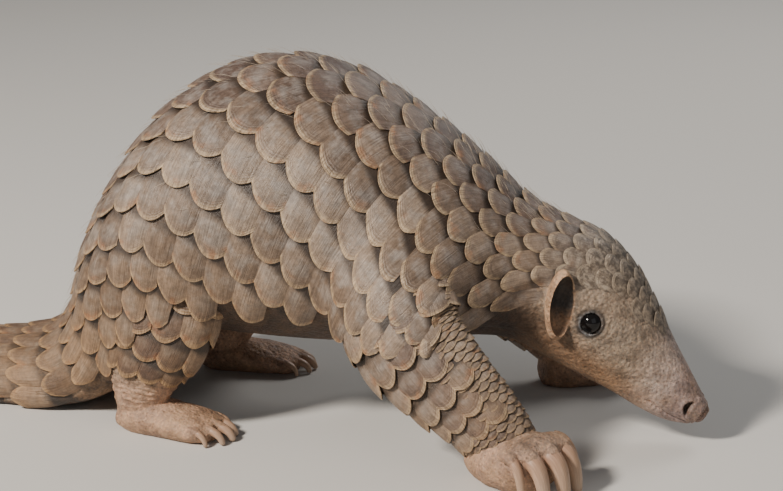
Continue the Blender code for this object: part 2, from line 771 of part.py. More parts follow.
def finish(obj, colour, roughness):
    obj.data.materials.clear()
    obj.data.materials.append(material(obj.name, colour, roughness))
    obj.data.shade_smooth()
    obj.data.set_sharp_from_angle(angle=math.radians(35))


def clear_scene():
    for obj in list(bpy.data.objects):
        bpy.data.objects.remove(obj)
    for collection in list(bpy.data.collections):
        bpy.data.collections.remove(collection)


def body_node(body, rows, cuts, name, collection, grow=0.0):
    """One node of the head, trunk or tail. A grown one also reaches past the planes that part it."""
    names = list(BODY_NODES)
    number = names.index(name)
    columns = BODY_NODES[name][1]
    first = cuts[name]
    start = [(t, None, 0, None) for t in HEAD_RINGS]
    if number:
        shift = CLEARANCE / 2 - 2 * grow
        start = [(parting(rows, first), rows[first], first, shift)]
    if number + 1 < len(names):
        last = cuts[names[number + 1]]
        end = [(parting(rows, last), rows[last], last, 2 * grow - CLEARANCE / 2)]
    else:
        last = len(rows)
        end = [(len(STATIONS) - 1.0, None, last, None)]
    used = [(k, rows[k]) for k in range(first, last)]
    return scaled_tube(body, name, columns, start, end, used, collection, grow)


def parting(rows, index):
    tip, step, _ = rows[index]
    return tip - PARTED_AT * step


def limb_node(limb, name, collection):
    rows = list(enumerate(limb.scale_rows()))
    columns = limb.scales["columns"]
    start = [(0.0, None, 0, None)]
    end = [(t, None, len(rows), None) for t in (limb.scales["last"] + BARE_AFTER_LAST_ROW, len(limb.rows) - 1.0)]
    return scaled_tube(limb, name, columns, start, end, rows, collection)


def main():
    clear_scene()
    parts = bpy.data.collections.new("pangolin")
    tools = bpy.data.collections.new("cutters")
    for collection in (parts, tools):
        bpy.context.scene.collection.children.link(collection)

    body = Body(STATIONS)
    rows = body_rows(body)
    cuts = {}
    for name, (start, _) in BODY_NODES.items():
        cuts[name] = next(k for k in range(len(rows)) if parting(rows, k) > start)
    for name in BODY_NODES:
        node = body_node(body, rows, cuts, name, parts)
        if name != "head":
            finish(node, SCALE_COLOUR, 0.6)

    head = bpy.data.objects["head"]
    lids = [make_lid(body, side, tools) for side in (-1, 1)]
    lips = mouth_ribbon(body, tools, LIP_THICKNESS, LIP_DEPTH, LIP_HEIGHT)
    boolean(head, lids + [lips], "UNION")
    cutters = [mouth_ribbon(body, tools, MOUTH_OUTSIDE, MOUTH_DEPTH, MOUTH_HEIGHT)]
    for side in (-1, 1):
        cutters.append(make_eye(body, side, "socket", tools, EYE_RADIUS + CLEARANCE))
        spot, forward, outward, up = surface_frame(body, NOSTRIL_STATION, side * NOSTRIL_ANGLE)
        cutters.append(ellipsoid("nostril", spot, (forward, outward, up), NOSTRIL_SIZE, tools, 10, 6))
    boolean(head, cutters, "DIFFERENCE")
    finish(head, SKIN_COLOUR, 0.7)

    for side, side_name in ((-1, "right"), (1, "left")):
        finish(make_eye(body, side, "eye_" + side_name, parts), EYE_COLOUR, 0.1)
        ear = make_ear(body, side, "ear_" + side_name, parts)
        near_ear = [body_node(body, rows, cuts, name, tools, ROOM_OVER_SCALES) for name in ("head", "neck")]
        boolean(ear, near_ear, "DIFFERENCE", "MANIFOLD")
        finish(ear, SKIN_COLOUR, 0.6)

        for kind, stations, scales, near_names in (
            ("fore", FORELEG, FORELEG_SCALES, ("neck", "chest", "back")),
            ("hind", HINDLEG, HINDLEG_SCALES, ("back", "rump", "tail_1")),
        ):
            stride = LEFT_STRIDE[kind] if side > 0 else 0.0
            limb = Limb(stations, side, stride, scales)
            if kind == "fore":
                paw = Paw(FOREPAW, side, FOREPAW_PLACE, FOREPAW_TURN, stride)
            else:
                paw = Paw(HINDPAW, side, HINDPAW_PLACE, HINDPAW_TURN, stride)
            leg = limb_node(limb, kind + "leg_" + side_name, parts)
            cutters = [body_node(body, rows, cuts, name, tools, ROOM_OVER_SCALES) for name in near_names]
            cutters.append(tube_core(paw, "grown", PAW_SIDES, PAW_RINGS, tools, CLEARANCE))
            boolean(leg, cutters, "DIFFERENCE", "MANIFOLD")
            finish(leg, SCALE_COLOUR, 0.6)
            finish(tube_core(paw, kind + "paw_" + side_name, PAW_SIDES, PAW_RINGS, parts), SKIN_COLOUR, 0.6)
            for number, claw in (FORE_CLAWS if kind == "fore" else HIND_CLAWS).items():
                horn = make_claw(paw, claw, kind + "claw_" + side_name + "_" + number, parts, kind == "fore")
                boolean(horn, [tube_core(paw, "grown", PAW_SIDES, PAW_RINGS, tools, CLEARANCE)], "DIFFERENCE")
                finish(horn, CLAW_COLOUR, 0.4)

    bpy.data.collections.remove(tools)


main()
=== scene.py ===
"""Looks of a life-size Chinese pangolin: one skin, horn scales, claws, eyes and bristles."""
import math

import bmesh
import bpy
import numpy as np
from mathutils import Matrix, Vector, noise
from mathutils.kdtree import KDTree


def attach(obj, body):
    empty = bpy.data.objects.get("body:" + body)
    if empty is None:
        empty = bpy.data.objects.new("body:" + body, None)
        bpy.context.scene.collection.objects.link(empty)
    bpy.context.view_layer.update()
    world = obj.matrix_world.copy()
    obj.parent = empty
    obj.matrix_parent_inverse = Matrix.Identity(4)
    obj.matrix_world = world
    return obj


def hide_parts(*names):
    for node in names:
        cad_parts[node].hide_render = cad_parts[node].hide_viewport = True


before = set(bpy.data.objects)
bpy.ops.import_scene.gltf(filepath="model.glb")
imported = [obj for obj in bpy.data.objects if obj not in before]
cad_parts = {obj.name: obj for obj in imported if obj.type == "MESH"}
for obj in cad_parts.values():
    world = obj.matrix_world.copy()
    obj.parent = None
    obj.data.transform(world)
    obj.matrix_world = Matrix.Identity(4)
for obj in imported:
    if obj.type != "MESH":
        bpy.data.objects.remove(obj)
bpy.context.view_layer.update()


# Head, trunk and tail: soft skin, bare on the face and belly, that carries the horn scales on the rest.
# It is one tube through named stations, sculpted on the face. Sizes are millimetres.

# Each station has its back point x and z, belly point x and z, half width, how far down the widest level
# lies, the power that squares the belly, the length of its scales, and how many degrees round they are
# laid out and stand up. X = 0 is near the withers.
STATIONS = {
    "nose_tip": (153.2, 15.8, 150.4, 11.2, 3.4, 0.5, 1.0, 7.0, 120, 10),
    "nose": (151.6, 20.5, 145.0, 9.6, 6.6, 0.5, 0.95, 7.0, 120, 10),
    "muzzle": (145.4, 32.0, 134.0, 10.2, 9.4, 0.5, 0.9, 7.0, 120, 10),
    "snout": (136.6, 47.8, 121.5, 15.2, 13.6, 0.5, 0.9, 7.0, 120, 18),
    "cheek": (126.8, 66.4, 106.5, 23.6, 19.0, 0.52, 0.9, 7.0, 118, 40),
    "brow": (116.6, 83.2, 91.5, 30.6, 22.8, 0.52, 0.9, 7.5, 114, 50),
    "ear": (101.6, 97.0, 75.0, 38.5, 25.5, 0.5, 0.9, 8.5, 110, 58),
    "nape": (84.6, 103.2, 60.0, 45.5, 27.5, 0.5, 0.9, 10.5, 110, 84),
    "neck": (64.8, 111.8, 41.0, 46.0, 33.0, 0.5, 0.9, 12.5, 114, 120),
    "withers": (39.0, 132.6, 18.0, 42.5, 42.5, 0.5, 0.88, 13.5, 118, 180),
    "shoulder": (12.8, 150.8, -4.0, 40.5, 50.0, 0.5, 0.86, 14.5, 120, 180),
    "chest": (-14.8, 166.1, -24.0, 39.5, 55.0, 0.5, 0.86, 15.5, 120, 180),
    "hump": (-45.0, 173.0, -45.0, 39.5, 59.0, 0.5, 0.86, 16.5, 120, 180),
    "loin": (-79.3, 167.1, -66.0, 40.5, 62.0, 0.5, 0.86, 18.0, 119, 180),
    "hip": (-110.3, 145.2, -84.0, 42.0, 63.0, 0.5, 0.86, 19.5, 117, 180),
    "croup": (-133.6, 113.4, -98.0, 39.0, 60.0, 0.5, 0.86, 19.5, 115, 180),
    "rump": (-148.3, 82.8, -109.0, 30.0, 54.0, 0.52, 0.8, 18.5, 110, 180),
    "tail_root": (-156.6, 54.6, -123.0, 15.0, 46.5, 0.58, 0.7, 17.0, 102, 180),
    "tail_base": (-168.5, 36.6, -146.0, 3.0, 41.0, 0.68, 0.5, 16.5, 94, 180),
    "tail_near": (-192.0, 27.2, -178.0, -0.8, 37.5, 0.74, 0.42, 16.0, 90, 180),
    "tail_second": (-232.0, 22.0, -226.0, -0.8, 33.5, 0.76, 0.4, 15.5, 88, 180),
    "tail_middle": (-290.0, 17.5, -288.0, -0.8, 28.0, 0.76, 0.4, 15.0, 88, 180),
    "tail_fourth": (-350.0, 13.2, -350.0, -0.8, 22.0, 0.76, 0.4, 14.0, 88, 180),
    "tail_thin": (-405.0, 9.2, -405.0, -0.8, 15.5, 0.76, 0.4, 12.5, 88, 180),
    "tail_end": (-436.0, 6.2, -436.0, -0.8, 9.0, 0.74, 0.4, 9.0, 86, 180),
    "tail_tip": (-444.0, 4.2, -444.0, 0.6, 3.6, 0.6, 0.6, 7.0, 86, 180),
}
TAIL_SWING, TAIL_SWING_START, TAIL_SWING_END = -42.0, -150.0, -444.0
MIDDLE = np.array([-145.4, 0.0, 0.0])
# Ring spacing at two stations, and the points in a ring.
BODY_RINGS, BODY_SIDES, FLOOR_GAP = ([7.4, 8.6], [0.62, 3.0]), 192, 0.05
# Steps of the tables that a tube is measured in, and the widest share of its scaled band that they hold.
ALONG_STEPS, AROUND_STEPS, SHARE_STEPS, WIDEST_SHARE = 500, 181, 129, 0.64
RING_STEPS, STATION_STEPS = 241, 4000


def catmull_rom(rows, t):
    """The smooth curve through the rows, at each t counted in rows."""
    last = len(rows) - 1
    t = np.clip(t, 0.0, last)
    i = np.minimum(t.astype(int), last - 1)
    u = (t - i)[:, None]
    before, start, end, after = (rows[np.clip(i + k, 0, last)] for k in (-1, 0, 1, 2))
    slope_in, slope_out = (end - before) / 2, (after - start) / 2
    return (
        start * (2 * u**3 - 3 * u**2 + 1)
        + slope_in * (u**3 - 2 * u**2 + u)
        + end * (3 * u**2 - 2 * u**3)
        + slope_out * (u**3 - u**2)
    )


def unit(vectors):
    return vectors / np.maximum(np.linalg.norm(vectors, axis=-1, keepdims=True), 1e-9)


def run_along(line):
    """How far along a line of points each point lies."""
    return np.concatenate([[0.0], np.cumsum(np.linalg.norm(np.diff(line, axis=0), axis=1))])


def at_station(values, t):
    """What the values, one for each station, come to at t."""
    return np.interp(t, np.arange(len(values)), values)


def at_cell(table, row, column):
    """What a table comes to between its cells, at fractional rows and columns."""
    row, column = (np.clip(place, 0, size - 1) for place, size in zip((row, column), table.shape))
    i, j = (np.minimum(place.astype(int), size - 2) for place, size in zip((row, column), table.shape))
    a, b = row - i, column - j
    low = table[i, j] * (1 - b) + table[i, j + 1] * b
    return low * (1 - a) + (table[i + 1, j] * (1 - b) + table[i + 1, j + 1] * b) * a


class Tube:
    """A smooth tube through stations. t counts the stations, and an angle goes round it."""

    def __init__(self, stations):
        self.rows = np.array(list(stations.values()), float)
        self.last = len(self.rows) - 1.0

    def measure(self, reaches):
        """Tables of the angle at each share of the band that bears scales, and of the run along it."""
        self.t_grid = np.linspace(0, self.last, ALONG_STEPS)
        shares = np.linspace(-WIDEST_SHARE, WIDEST_SHARE, SHARE_STEPS)
        around = np.linspace(-math.pi, math.pi, AROUND_STEPS)
        table = []
        for t in self.t_grid:
            run = run_along(self.points(np.full(AROUND_STEPS, t), around))
            middle = np.interp(0.0, around, run)
            half = np.interp(math.radians(at_station(reaches, t)), around, run) - middle
            table.append(np.interp(middle + shares * 2 * half, run, around))
        self.angle_table = np.array(table)
        self.run = run_along(self.points(self.t_grid, np.zeros(ALONG_STEPS)))

    def angle_at(self, t, share):
        row = t / self.last * (ALONG_STEPS - 1)
        return at_cell(self.angle_table, row, (share / WIDEST_SHARE + 1) / 2 * (SHARE_STEPS - 1))

    def normals(self, t, angles):
        step = 0.01
        along = self.points(t + step, angles) - self.points(t - step, angles)
        around = self.points(t, angles + step) - self.points(t, angles - step)
        normals = unit(np.cross(around, along))
        middle = sum(self.points(t, np.full(len(t), turn)) for turn in np.arange(8) * math.pi / 4) / 8
        outward = self.points(t, angles) - middle
        return normals * np.where((normals * outward).sum(axis=1) < 0, -1.0, 1.0)[:, None]

    def grid(self, stations, sides):
        """Rings at the stations, each with its points evenly spaced: t, angle, point and normal of each."""
        around = np.linspace(0, 2 * math.pi, RING_STEPS)
        angles = []
        for t in stations:
            run = run_along(self.points(np.full(RING_STEPS, t), around))
            angles.append(np.interp(np.arange(sides) / sides * run[-1], run, around))
        ts, angles = np.repeat(stations, sides), np.concatenate(angles)
        return ts, angles, self.points(ts, angles), self.normals(ts, angles)


class Body(Tube):
    """Head, trunk and tail. Angle 0 is the middle of the back."""

    def points(self, t, angles):
        back_x, back_z, belly_x, belly_z, half_width, level, square = catmull_rom(self.rows[:, :7], t).T
        sine, cosine = np.sin(angles), np.cos(angles)
        power = np.where(cosine < 0, square, 1.0)
        below = level + (1 - level) * np.abs(cosine) ** power
        part = np.where(cosine < 0, below, level * (1 - cosine))
        x = back_x + part * (belly_x - back_x)
        y = half_width * np.sign(sine) * np.abs(sine) ** power
        swing = np.clip((x - TAIL_SWING_START) / (TAIL_SWING_END - TAIL_SWING_START), 0, 1)
        return np.stack([x, y + TAIL_SWING * swing**2, back_z + part * (belly_z - back_z)], axis=1)


def mesh_piece(name, points, faces):
    """A mesh object from millimetres, moved into the part's frame."""
    mesh = bpy.data.meshes.new(name)
    placed = (np.asarray(points, float) - MIDDLE) * 0.001
    mesh.from_pydata(placed.tolist(), [], [list(face) for face in faces])
    mesh.update()
    piece = bpy.data.objects.new(name, mesh)
    bpy.context.scene.collection.objects.link(piece)
    return piece


def closed_piece(name, points, faces):
    """A closed mesh object, with its faces turned outward."""
    piece = mesh_piece(name, points, faces)
    shape = bmesh.new()
    shape.from_mesh(piece.data)
    bmesh.ops.recalc_face_normals(shape, faces=shape.faces)
    shape.to_mesh(piece.data)
    shape.free()
    return piece


def ring_faces(rings, sides):
    """Faces of a closed tube of rings, with a flat end at each end."""
    low = np.arange(rings - 1)[:, None] * sides + np.arange(sides)[None]
    beside = np.arange(rings - 1)[:, None] * sides + (np.arange(sides)[None] + 1) % sides
    quads = np.stack([low, beside, beside + sides, low + sides], axis=-1).reshape(-1, 4).tolist()
    start = list(range(sides))[::-1]
    end = [(rings - 1) * sides + i for i in range(sides)]
    return quads + [start, end]


def tube_piece(name, points, rings, sides):
    """A closed tube of rings that stays above the floor."""
    points[:, 2] = np.maximum(points[:, 2], FLOOR_GAP)
    return closed_piece(name, points, ring_faces(rings, sides))


def spaced_stations(tube, spacing):
    """Stations along the tube, as far apart in millimetres as spacing gives at each."""
    fine = np.linspace(0, tube.last, STATION_STEPS)
    line = tube.points(fine, np.zeros(STATION_STEPS))
    steps = np.linalg.norm(np.diff(line, axis=0), axis=1) / spacing(fine[1:])
    count = np.concatenate([[0.0], np.cumsum(steps)])
    return np.interp(np.linspace(0, count[-1], int(count[-1]) + 1), count, fine)


body = Body(STATIONS)
SCALE_LENGTHS, SCALE_REACHES, SCALE_EDGES = body.rows[:, 7:].T
body.measure(SCALE_REACHES)

EYE_STATION, EYE_ANGLE, EYE_OPENING, EYE_TALL, EYE_DEPTH = 5.27, 86.0, 4.75, 1.06, 9.0
# The skin round an eye: distance from its middle in radii of the opening, and height over the face.
LID_PROFILE = (
    (0.0, -4.0), (0.80, -4.0), (0.93, -0.7), (0.99, 0.45), (1.05, 0.85), (1.12, 0.85), (1.2, 0.5),
    (1.3, 0.0), (1.42, 0.3), (1.58, 0.6), (1.76, 0.3), (1.9, 0.05), (2.15, 0.3), (2.6, 0.1), (3.2, 0.0),
)
# The mouth's line, as stations and degrees from the back, the skin across it, and the last station near it.
MOUTH_PATH = ((0.55, 180.0), (0.75, 152.0), (1.2, 134.0), (1.8, 126.0), (2.4, 122.0), (2.9, 118.0))
MOUTH_PROFILE = ((0.0, -0.9), (0.3, -0.7), (0.75, 0.1), (1.5, 0.35), (2.6, 0.2), (4.5, 0.0))
MOUTH_END, MOUTH_STEPS, MOUTH_PARTS = 4.0, 240, 12
# A nostril is a slit bent round the wing in front of it.
NOSTRIL_STATION, NOSTRIL_ANGLE, NOSTRIL_BEND, NOSTRIL_SHAPE, NOSTRIL_DEPTH = 1.62, 84.0, 0.12, 2.7, 3.5
NOSTRIL_PROFILE = ((0.0, -2.6), (1.0, -2.2), (1.45, 0.15), (1.9, 0.55), (2.5, 0.3), (3.4, 0.0))
WING_AHEAD, WING_SIZE, WING_TALL, WING_HEIGHT = 3.2, 2.3, 1.3, 1.1


def surface_frame(station, angle):
    """A point on the body's skin, with its axes: forward along the head, outward, and up."""
    t, turn = np.array([station]), np.array([math.radians(angle)])
    spot = body.points(t, turn)[0]
    outward = body.normals(t, turn)[0]
    up = (body.points(t, np.array([0.0])) - body.points(t, np.array([math.pi])))[0]
    up = unit(up - outward * (up @ outward))
    forward = np.cross(outward, up)
    return spot, forward * np.sign(forward[0]), outward, up


def from_eye(points, side):
    """How far points lie from an eye's middle in radii of its opening, how far ahead of it and outward."""
    spot, forward, outward, up = surface_frame(EYE_STATION, side * EYE_ANGLE)
    offset = points - spot
    ahead = offset @ forward
    return np.hypot(ahead, offset @ up / EYE_TALL) / EYE_OPENING, ahead, offset @ outward


def from_nostril(points, side):
    """How far points lie from a nostril's slit, then how far ahead of its wing, above it and outward."""
    spot, forward, outward, up = surface_frame(NOSTRIL_STATION, side * NOSTRIL_ANGLE)
    offset = points - spot
    ahead, above = offset @ forward, offset @ up
    distance = np.hypot(ahead - NOSTRIL_BEND * above**2, above / NOSTRIL_SHAPE)
    return distance, ahead - WING_AHEAD, above, offset @ outward


def profile(distance, table):
    places, heights = np.array(table).T
    return np.interp(distance, places, heights)


def sculpt_face(t, points, normals):
    """Sinks the eye sockets, nostrils and mouth, and raises the lids, lips and folds."""
    height = np.zeros(len(points))
    for side in (-1, 1):
        distance, _, out = from_eye(points, side)
        near = (out > -EYE_DEPTH) & (distance < LID_PROFILE[-1][0])
        height += np.where(near, profile(distance, LID_PROFILE), 0.0)
        distance, ahead, above, out = from_nostril(points, side)
        near = out > -NOSTRIL_DEPTH
        height += np.where(near, profile(distance, NOSTRIL_PROFILE), 0.0)
        wing = np.exp(-(ahead**2 + (above / WING_TALL) ** 2) / WING_SIZE**2)
        height += np.where(near & (distance > 1.0), WING_HEIGHT * wing, 0.0)
    path = [(station, -angle) for station, angle in MOUTH_PATH[:0:-1]] + list(MOUTH_PATH)
    line = catmull_rom(np.array(path), np.linspace(0, len(path) - 1, MOUTH_STEPS))
    line = body.points(line[:, 0], np.radians(line[:, 1]))
    nearest = np.full(len(points), MOUTH_PROFILE[-1][0])
    for some in np.array_split(np.flatnonzero(t < MOUTH_END), MOUTH_PARTS):
        nearest[some] = np.linalg.norm(points[some][:, None] - line[None], axis=2).min(axis=1)
    height += profile(nearest, MOUTH_PROFILE)
    return points + height[:, None] * normals


rings = spaced_stations(body, lambda t: np.interp(t, *BODY_RINGS))
body_t, body_angles, points, normals = body.grid(rings, BODY_SIDES)
body_points = sculpt_face(body_t, points, normals)
skin = tube_piece("skin", body_points, len(rings), BODY_SIDES)


# Legs and paws: short legs with loose skin, scaled outside, and fleshy paws whose toes sheathe the claws.
# Each leg, paw and toe is a tube, and all are fused to the body further down.
# Leg stations give the centre, half depth along the animal and half thickness across it.
LEGS = {
    "fore": {
        "shoulder": (12.0, 35.0, 103.0, 24.0, 12.0),
        "upper_arm": (14.0, 54.0, 82.0, 28.0, 14.0),
        "elbow": (25.0, 64.0, 60.0, 26.5, 14.5),
        "forearm": (42.0, 68.0, 44.0, 22.5, 13.5),
        "low_forearm": (58.0, 70.5, 31.0, 18.5, 12.5),
        "wrist": (70.0, 72.0, 20.0, 15.5, 12.0),
        "palm": (77.0, 73.0, 13.0, 12.0, 10.0),
    },
    "hind": {
        "hip": (-104.0, 27.0, 88.0, 33.0, 13.0),
        "thigh": (-99.0, 42.0, 67.0, 31.0, 15.0),
        "knee": (-100.0, 48.0, 49.0, 25.0, 14.5),
        "shank": (-106.0, 49.5, 33.0, 19.0, 13.5),
        "ankle": (-109.0, 49.5, 19.0, 14.5, 12.0),
        "sole": (-109.0, 49.5, 9.0, 12.0, 10.5),
    },
}
# Paw stations give the distance along, the height of the centre, half height and half width.
PAWS = {
    "fore": {
        "heel": (-17.0, 9.5, 9.0, 9.0),
        "wrist": (-9.0, 10.2, 12.5, 14.0),
        "palm": (3.0, 11.0, 13.5, 17.0),
        "knuckles": (15.0, 12.5, 14.0, 17.5),
        "toes": (23.0, 15.0, 11.5, 15.5),
        "front": (27.0, 16.5, 6.5, 11.0),
    },
    "hind": {
        "heel": (-14.0, 7.5, 6.5, 8.0),
        "ankle": (-6.0, 7.6, 9.5, 11.5),
        "instep": (8.0, 7.0, 9.0, 13.0),
        "ball": (24.0, 5.7, 7.5, 14.5),
        "toes": (33.0, 4.7, 5.8, 13.0),
        "front": (37.0, 4.6, 3.4, 9.5),
    },
}
# Where each paw stands and how far it is turned out, and how far ahead the left leg is.
PAW_PLACES = {"fore": ((72.0, 72.5), 30.0), "hind": ((-106.0, 50.0), 8.0)}
LEFT_STRIDE = {"fore": 5.0, "hind": 6.0}
# Claws from the inner to the outer toe: place across the paw, length, half width at the base.
CLAWS = {
    "fore": ((-15.5, 21.5, 2.4), (-9.0, 26.5, 4.0), (1.0, 29.0, 4.5), (10.8, 27.0, 4.1), (17.3, 21.5, 2.4)),
    "hind": ((-11.5, 8.0, 1.7), (-6.0, 12.0, 2.2), (0.0, 13.5, 2.5), (6.2, 12.0, 2.2), (11.5, 8.0, 1.7)),
}
# Height of their roots, the share of their length that they reach ahead, and the share that a toe covers.
CLAW_HEIGHTS, CLAW_REACHES = {"fore": 20.5, "hind": 7.0}, {"fore": 0.6, "hind": 1.0}
TOE_SHARES, LEAST_REACH = {"fore": 0.42, "hind": 0.5}, 3.5
CLAW_ROOT, CLAW_SPLAY, CLAW_SPREAD, CLAW_BEND, CLAW_RISE, CLAW_TIP = 4.0, 0.3, 1.12, 0.95, 1.1, 0.3
TOE_WIDE, TOE_TAPER, TOE_FLAT = 1.38, 0.5, 0.95
LIMB_REACH, LIMB_SIDES, TOE_SIDES, TOE_RINGS = 100.0, 96, 28, 16
# Folds across the lower legs: their height, length and crest, and where they start on each leg.
WRINKLE_HEIGHT, WRINKLE_LENGTH, WRINKLE_CREST = 0.85, 2.9, 0.78
WRINKLE_START, WRINKLE_FADE, WRINKLE_POWER = {"fore": 1.9, "hind": 2.3}, 0.7, 1.3
# How high the folds are at least, how much that changes, and the skin's own unevenness.
WRINKLE_EVEN, WRINKLE_CHANGE, WRINKLE_SUNK, LEG_UNEVEN = 0.75, 0.7, 0.3, 0.6
# Two noises make the folds waver. Each has its scale and how many millimetres it shifts them.
DRIFT_SCALE, DRIFT_SHIFT, BREAK_SCALE, BREAK_PLACE, BREAK_SHIFT = 0.09, 4.0, (0.25, 0.25, 0.5), 40.0, 1.2
# Ring spacing at two stations down a leg, and along a paw, and the scale and height of a paw's unevenness.
LEG_RINGS, PAW_RINGS, PAW_SCALE, PAW_UNEVEN = ([1.2, 2.0], [1.6, 0.5]), 0.9, 0.14, 0.45


class Limb(Tube):
    """A leg on one side of the body. Angle 0 is its outer side."""

    def __init__(self, stations, side, stride):
        super().__init__(stations)
        self.rows[:, 0] += stride
        self.rows[:, 1] *= side
        self.side = side

    def points(self, t, angles):
        x, y, z, depth, thickness = catmull_rom(self.rows, t).T
        after, before = catmull_rom(self.rows, t + 0.05), catmull_rom(self.rows, t - 0.05)
        path = unit((after - before)[:, :3])
        outward = unit(np.array([0.0, self.side, 0.0]) - path * (path[:, 1] * self.side)[:, None])
        forward = np.cross(outward, path) * self.side
        centre = np.stack([x, y, z], axis=1)
        aside, along = (thickness * np.cos(angles))[:, None], (depth * np.sin(angles))[:, None]
        return centre + aside * outward + along * forward


class Paw(Tube):
    """A paw on the floor, along its own level axis, turned outwards. Angle 0 is its top."""

    def __init__(self, stations, side, place, turn, stride):
        super().__init__(stations)
        turn = math.radians(turn)
        self.origin = np.array([place[0] + stride, place[1] * side, 0.0])
        self.ahead = np.array([math.cos(turn), math.sin(turn) * side, 0.0])
        self.across = np.array([-math.sin(turn), math.cos(turn) * side, 0.0])

    def place(self, along, across, height):
        return self.origin + along * self.ahead + across * self.across + np.array([0.0, 0.0, height])

    def points(self, t, angles):
        along, height, half_height, half_width = catmull_rom(self.rows, t).T
        up = height + half_height * np.cos(angles)
        aside = half_width * np.sin(angles)
        level = self.origin + along[:, None] * self.ahead + aside[:, None] * self.across
        return level + up[:, None] * np.array([0, 0, 1.0])


def claw_path(paw, claw, kind, u):
    """Points, direction and radius along a claw's own curve, from its root in the paw to its tip."""
    across, length, half_width = claw
    front, height = paw.rows[-2][0], CLAW_HEIGHTS[kind]
    reach = math.sqrt(max(length**2 - height**2, LEAST_REACH**2)) * CLAW_REACHES[kind]
    start = paw.place(front - CLAW_ROOT - abs(across) * CLAW_SPLAY, across, height)
    bend = paw.place(front + reach * CLAW_BEND, across * CLAW_SPREAD, height * CLAW_RISE)
    end = paw.place(front + reach, across * CLAW_SPREAD, CLAW_TIP)
    u = np.asarray(u, float)[:, None]
    centre = start * (1 - u) ** 2 + bend * 2 * u * (1 - u) + end * u**2
    return centre, unit((bend - start) * (1 - u) + (end - bend) * u), half_width


def swept_tube(name, centre, path, widths, heights, sides):
    """A closed tube round a centre line, wider than it is high."""
    side = unit(np.cross(path, [0.0, 0.0, 1.0]))
    over = np.cross(side, path)
    turn = np.arange(sides) / sides * 2 * math.pi
    points = (
        centre[:, None]
        + widths[:, None, None] * np.cos(turn)[None, :, None] * side[:, None]
        + heights[:, None, None] * np.sin(turn)[None, :, None] * over[:, None]
    ).reshape(-1, 3)
    return tube_piece(name, points, len(centre), sides)


def leg_skin(limb, kind):
    """The loose skin of one leg, with thin overlapping folds across the lower part."""
    stations = spaced_stations(limb, lambda t: np.interp(t, *LEG_RINGS))
    t, angles, points, normals = limb.grid(stations, LIMB_SIDES)
    run = np.interp(t, limb.t_grid, limb.run)
    drift = np.array([noise.noise(Vector(p * DRIFT_SCALE)) for p in points])
    broken = np.array([noise.noise(Vector(p * BREAK_SCALE + (0, 0, BREAK_PLACE))) for p in points])
    phase = (run + DRIFT_SHIFT * drift + BREAK_SHIFT * broken) / WRINKLE_LENGTH % 1.0
    fold = np.minimum(phase / WRINKLE_CREST, (1 - phase) / (1 - WRINKLE_CREST)) ** WRINKLE_POWER
    height = WRINKLE_HEIGHT * fold * (WRINKLE_EVEN + WRINKLE_CHANGE * broken)
    height = height - WRINKLE_SUNK + LEG_UNEVEN * drift
    height *= np.clip((t - WRINKLE_START[kind]) / WRINKLE_FADE, 0, 1)
    return tube_piece("leg", points + height[:, None] * normals, len(stations), LIMB_SIDES)


def paw_skin(paw):
    """The skin of one paw, a little uneven."""
    stations = spaced_stations(paw, lambda t: np.full(len(t), PAW_RINGS))
    t, angles, points, normals = paw.grid(stations, LIMB_SIDES)
    drift = np.array([noise.fractal(Vector(p * PAW_SCALE), 1.0, 2.0, 3) for p in points])
    return tube_piece("paw", points + (PAW_UNEVEN * drift)[:, None] * normals, len(stations), LIMB_SIDES)


flesh, limbs, paws = [], {}, {}
for side, side_name in ((-1, "right"), (1, "left")):
    for kind in ("fore", "hind"):
        stride = LEFT_STRIDE[kind] if side > 0 else 0.0
        limb = Limb(LEGS[kind], side, stride)
        limb.measure([LIMB_REACH] * len(limb.rows))
        paw = Paw(PAWS[kind], side, *PAW_PLACES[kind], stride)
        limbs[kind, side_name], paws[kind, side_name] = limb, paw
        flesh += [leg_skin(limb, kind), paw_skin(paw)]
        for claw in CLAWS[kind]:
            u = np.linspace(0.0, TOE_SHARES[kind], TOE_RINGS)
            centre, path, half_width = claw_path(paw, claw, kind, u)
            size = half_width * (TOE_WIDE - TOE_TAPER * (u / u[-1]) ** 2)
            flesh.append(swept_tube("toe", centre, path, size, size * TOE_FLAT, TOE_SIDES))

# The trunk's skin lies over the tops of the legs, as far out as each stands there, on a grid of x and z.
COVER_START, COVER_SIZE, COVER_CELL, COVER_FAR = (-160.0, 0.0), (150, 75), 2.0, 60.0
COVER_ROUNDS, COVER_SLOPE, COVER_SOFTENINGS = 14, 1.5, 8
COVER_RINGS, COVER_SIDES, COVER_ANGLE = 240, 140, 2.2
DRAPE_LIFT, DRAPE_SOFT, DRAPE_INNER = 1.2, 3.0, 12.0
# The cover ends in a fold low on the trunk, at this angle from the back, and in one in front of the arm.
FOLD_ANGLE, FOLD_FADE, FOLD_FRONT, FOLD_REACH = 132.0, 34.0, 76.0, 38.0


def cover_cells(points):
    return ((points[:, axis] - start) / COVER_CELL for axis, start in zip((0, 2), COVER_START))


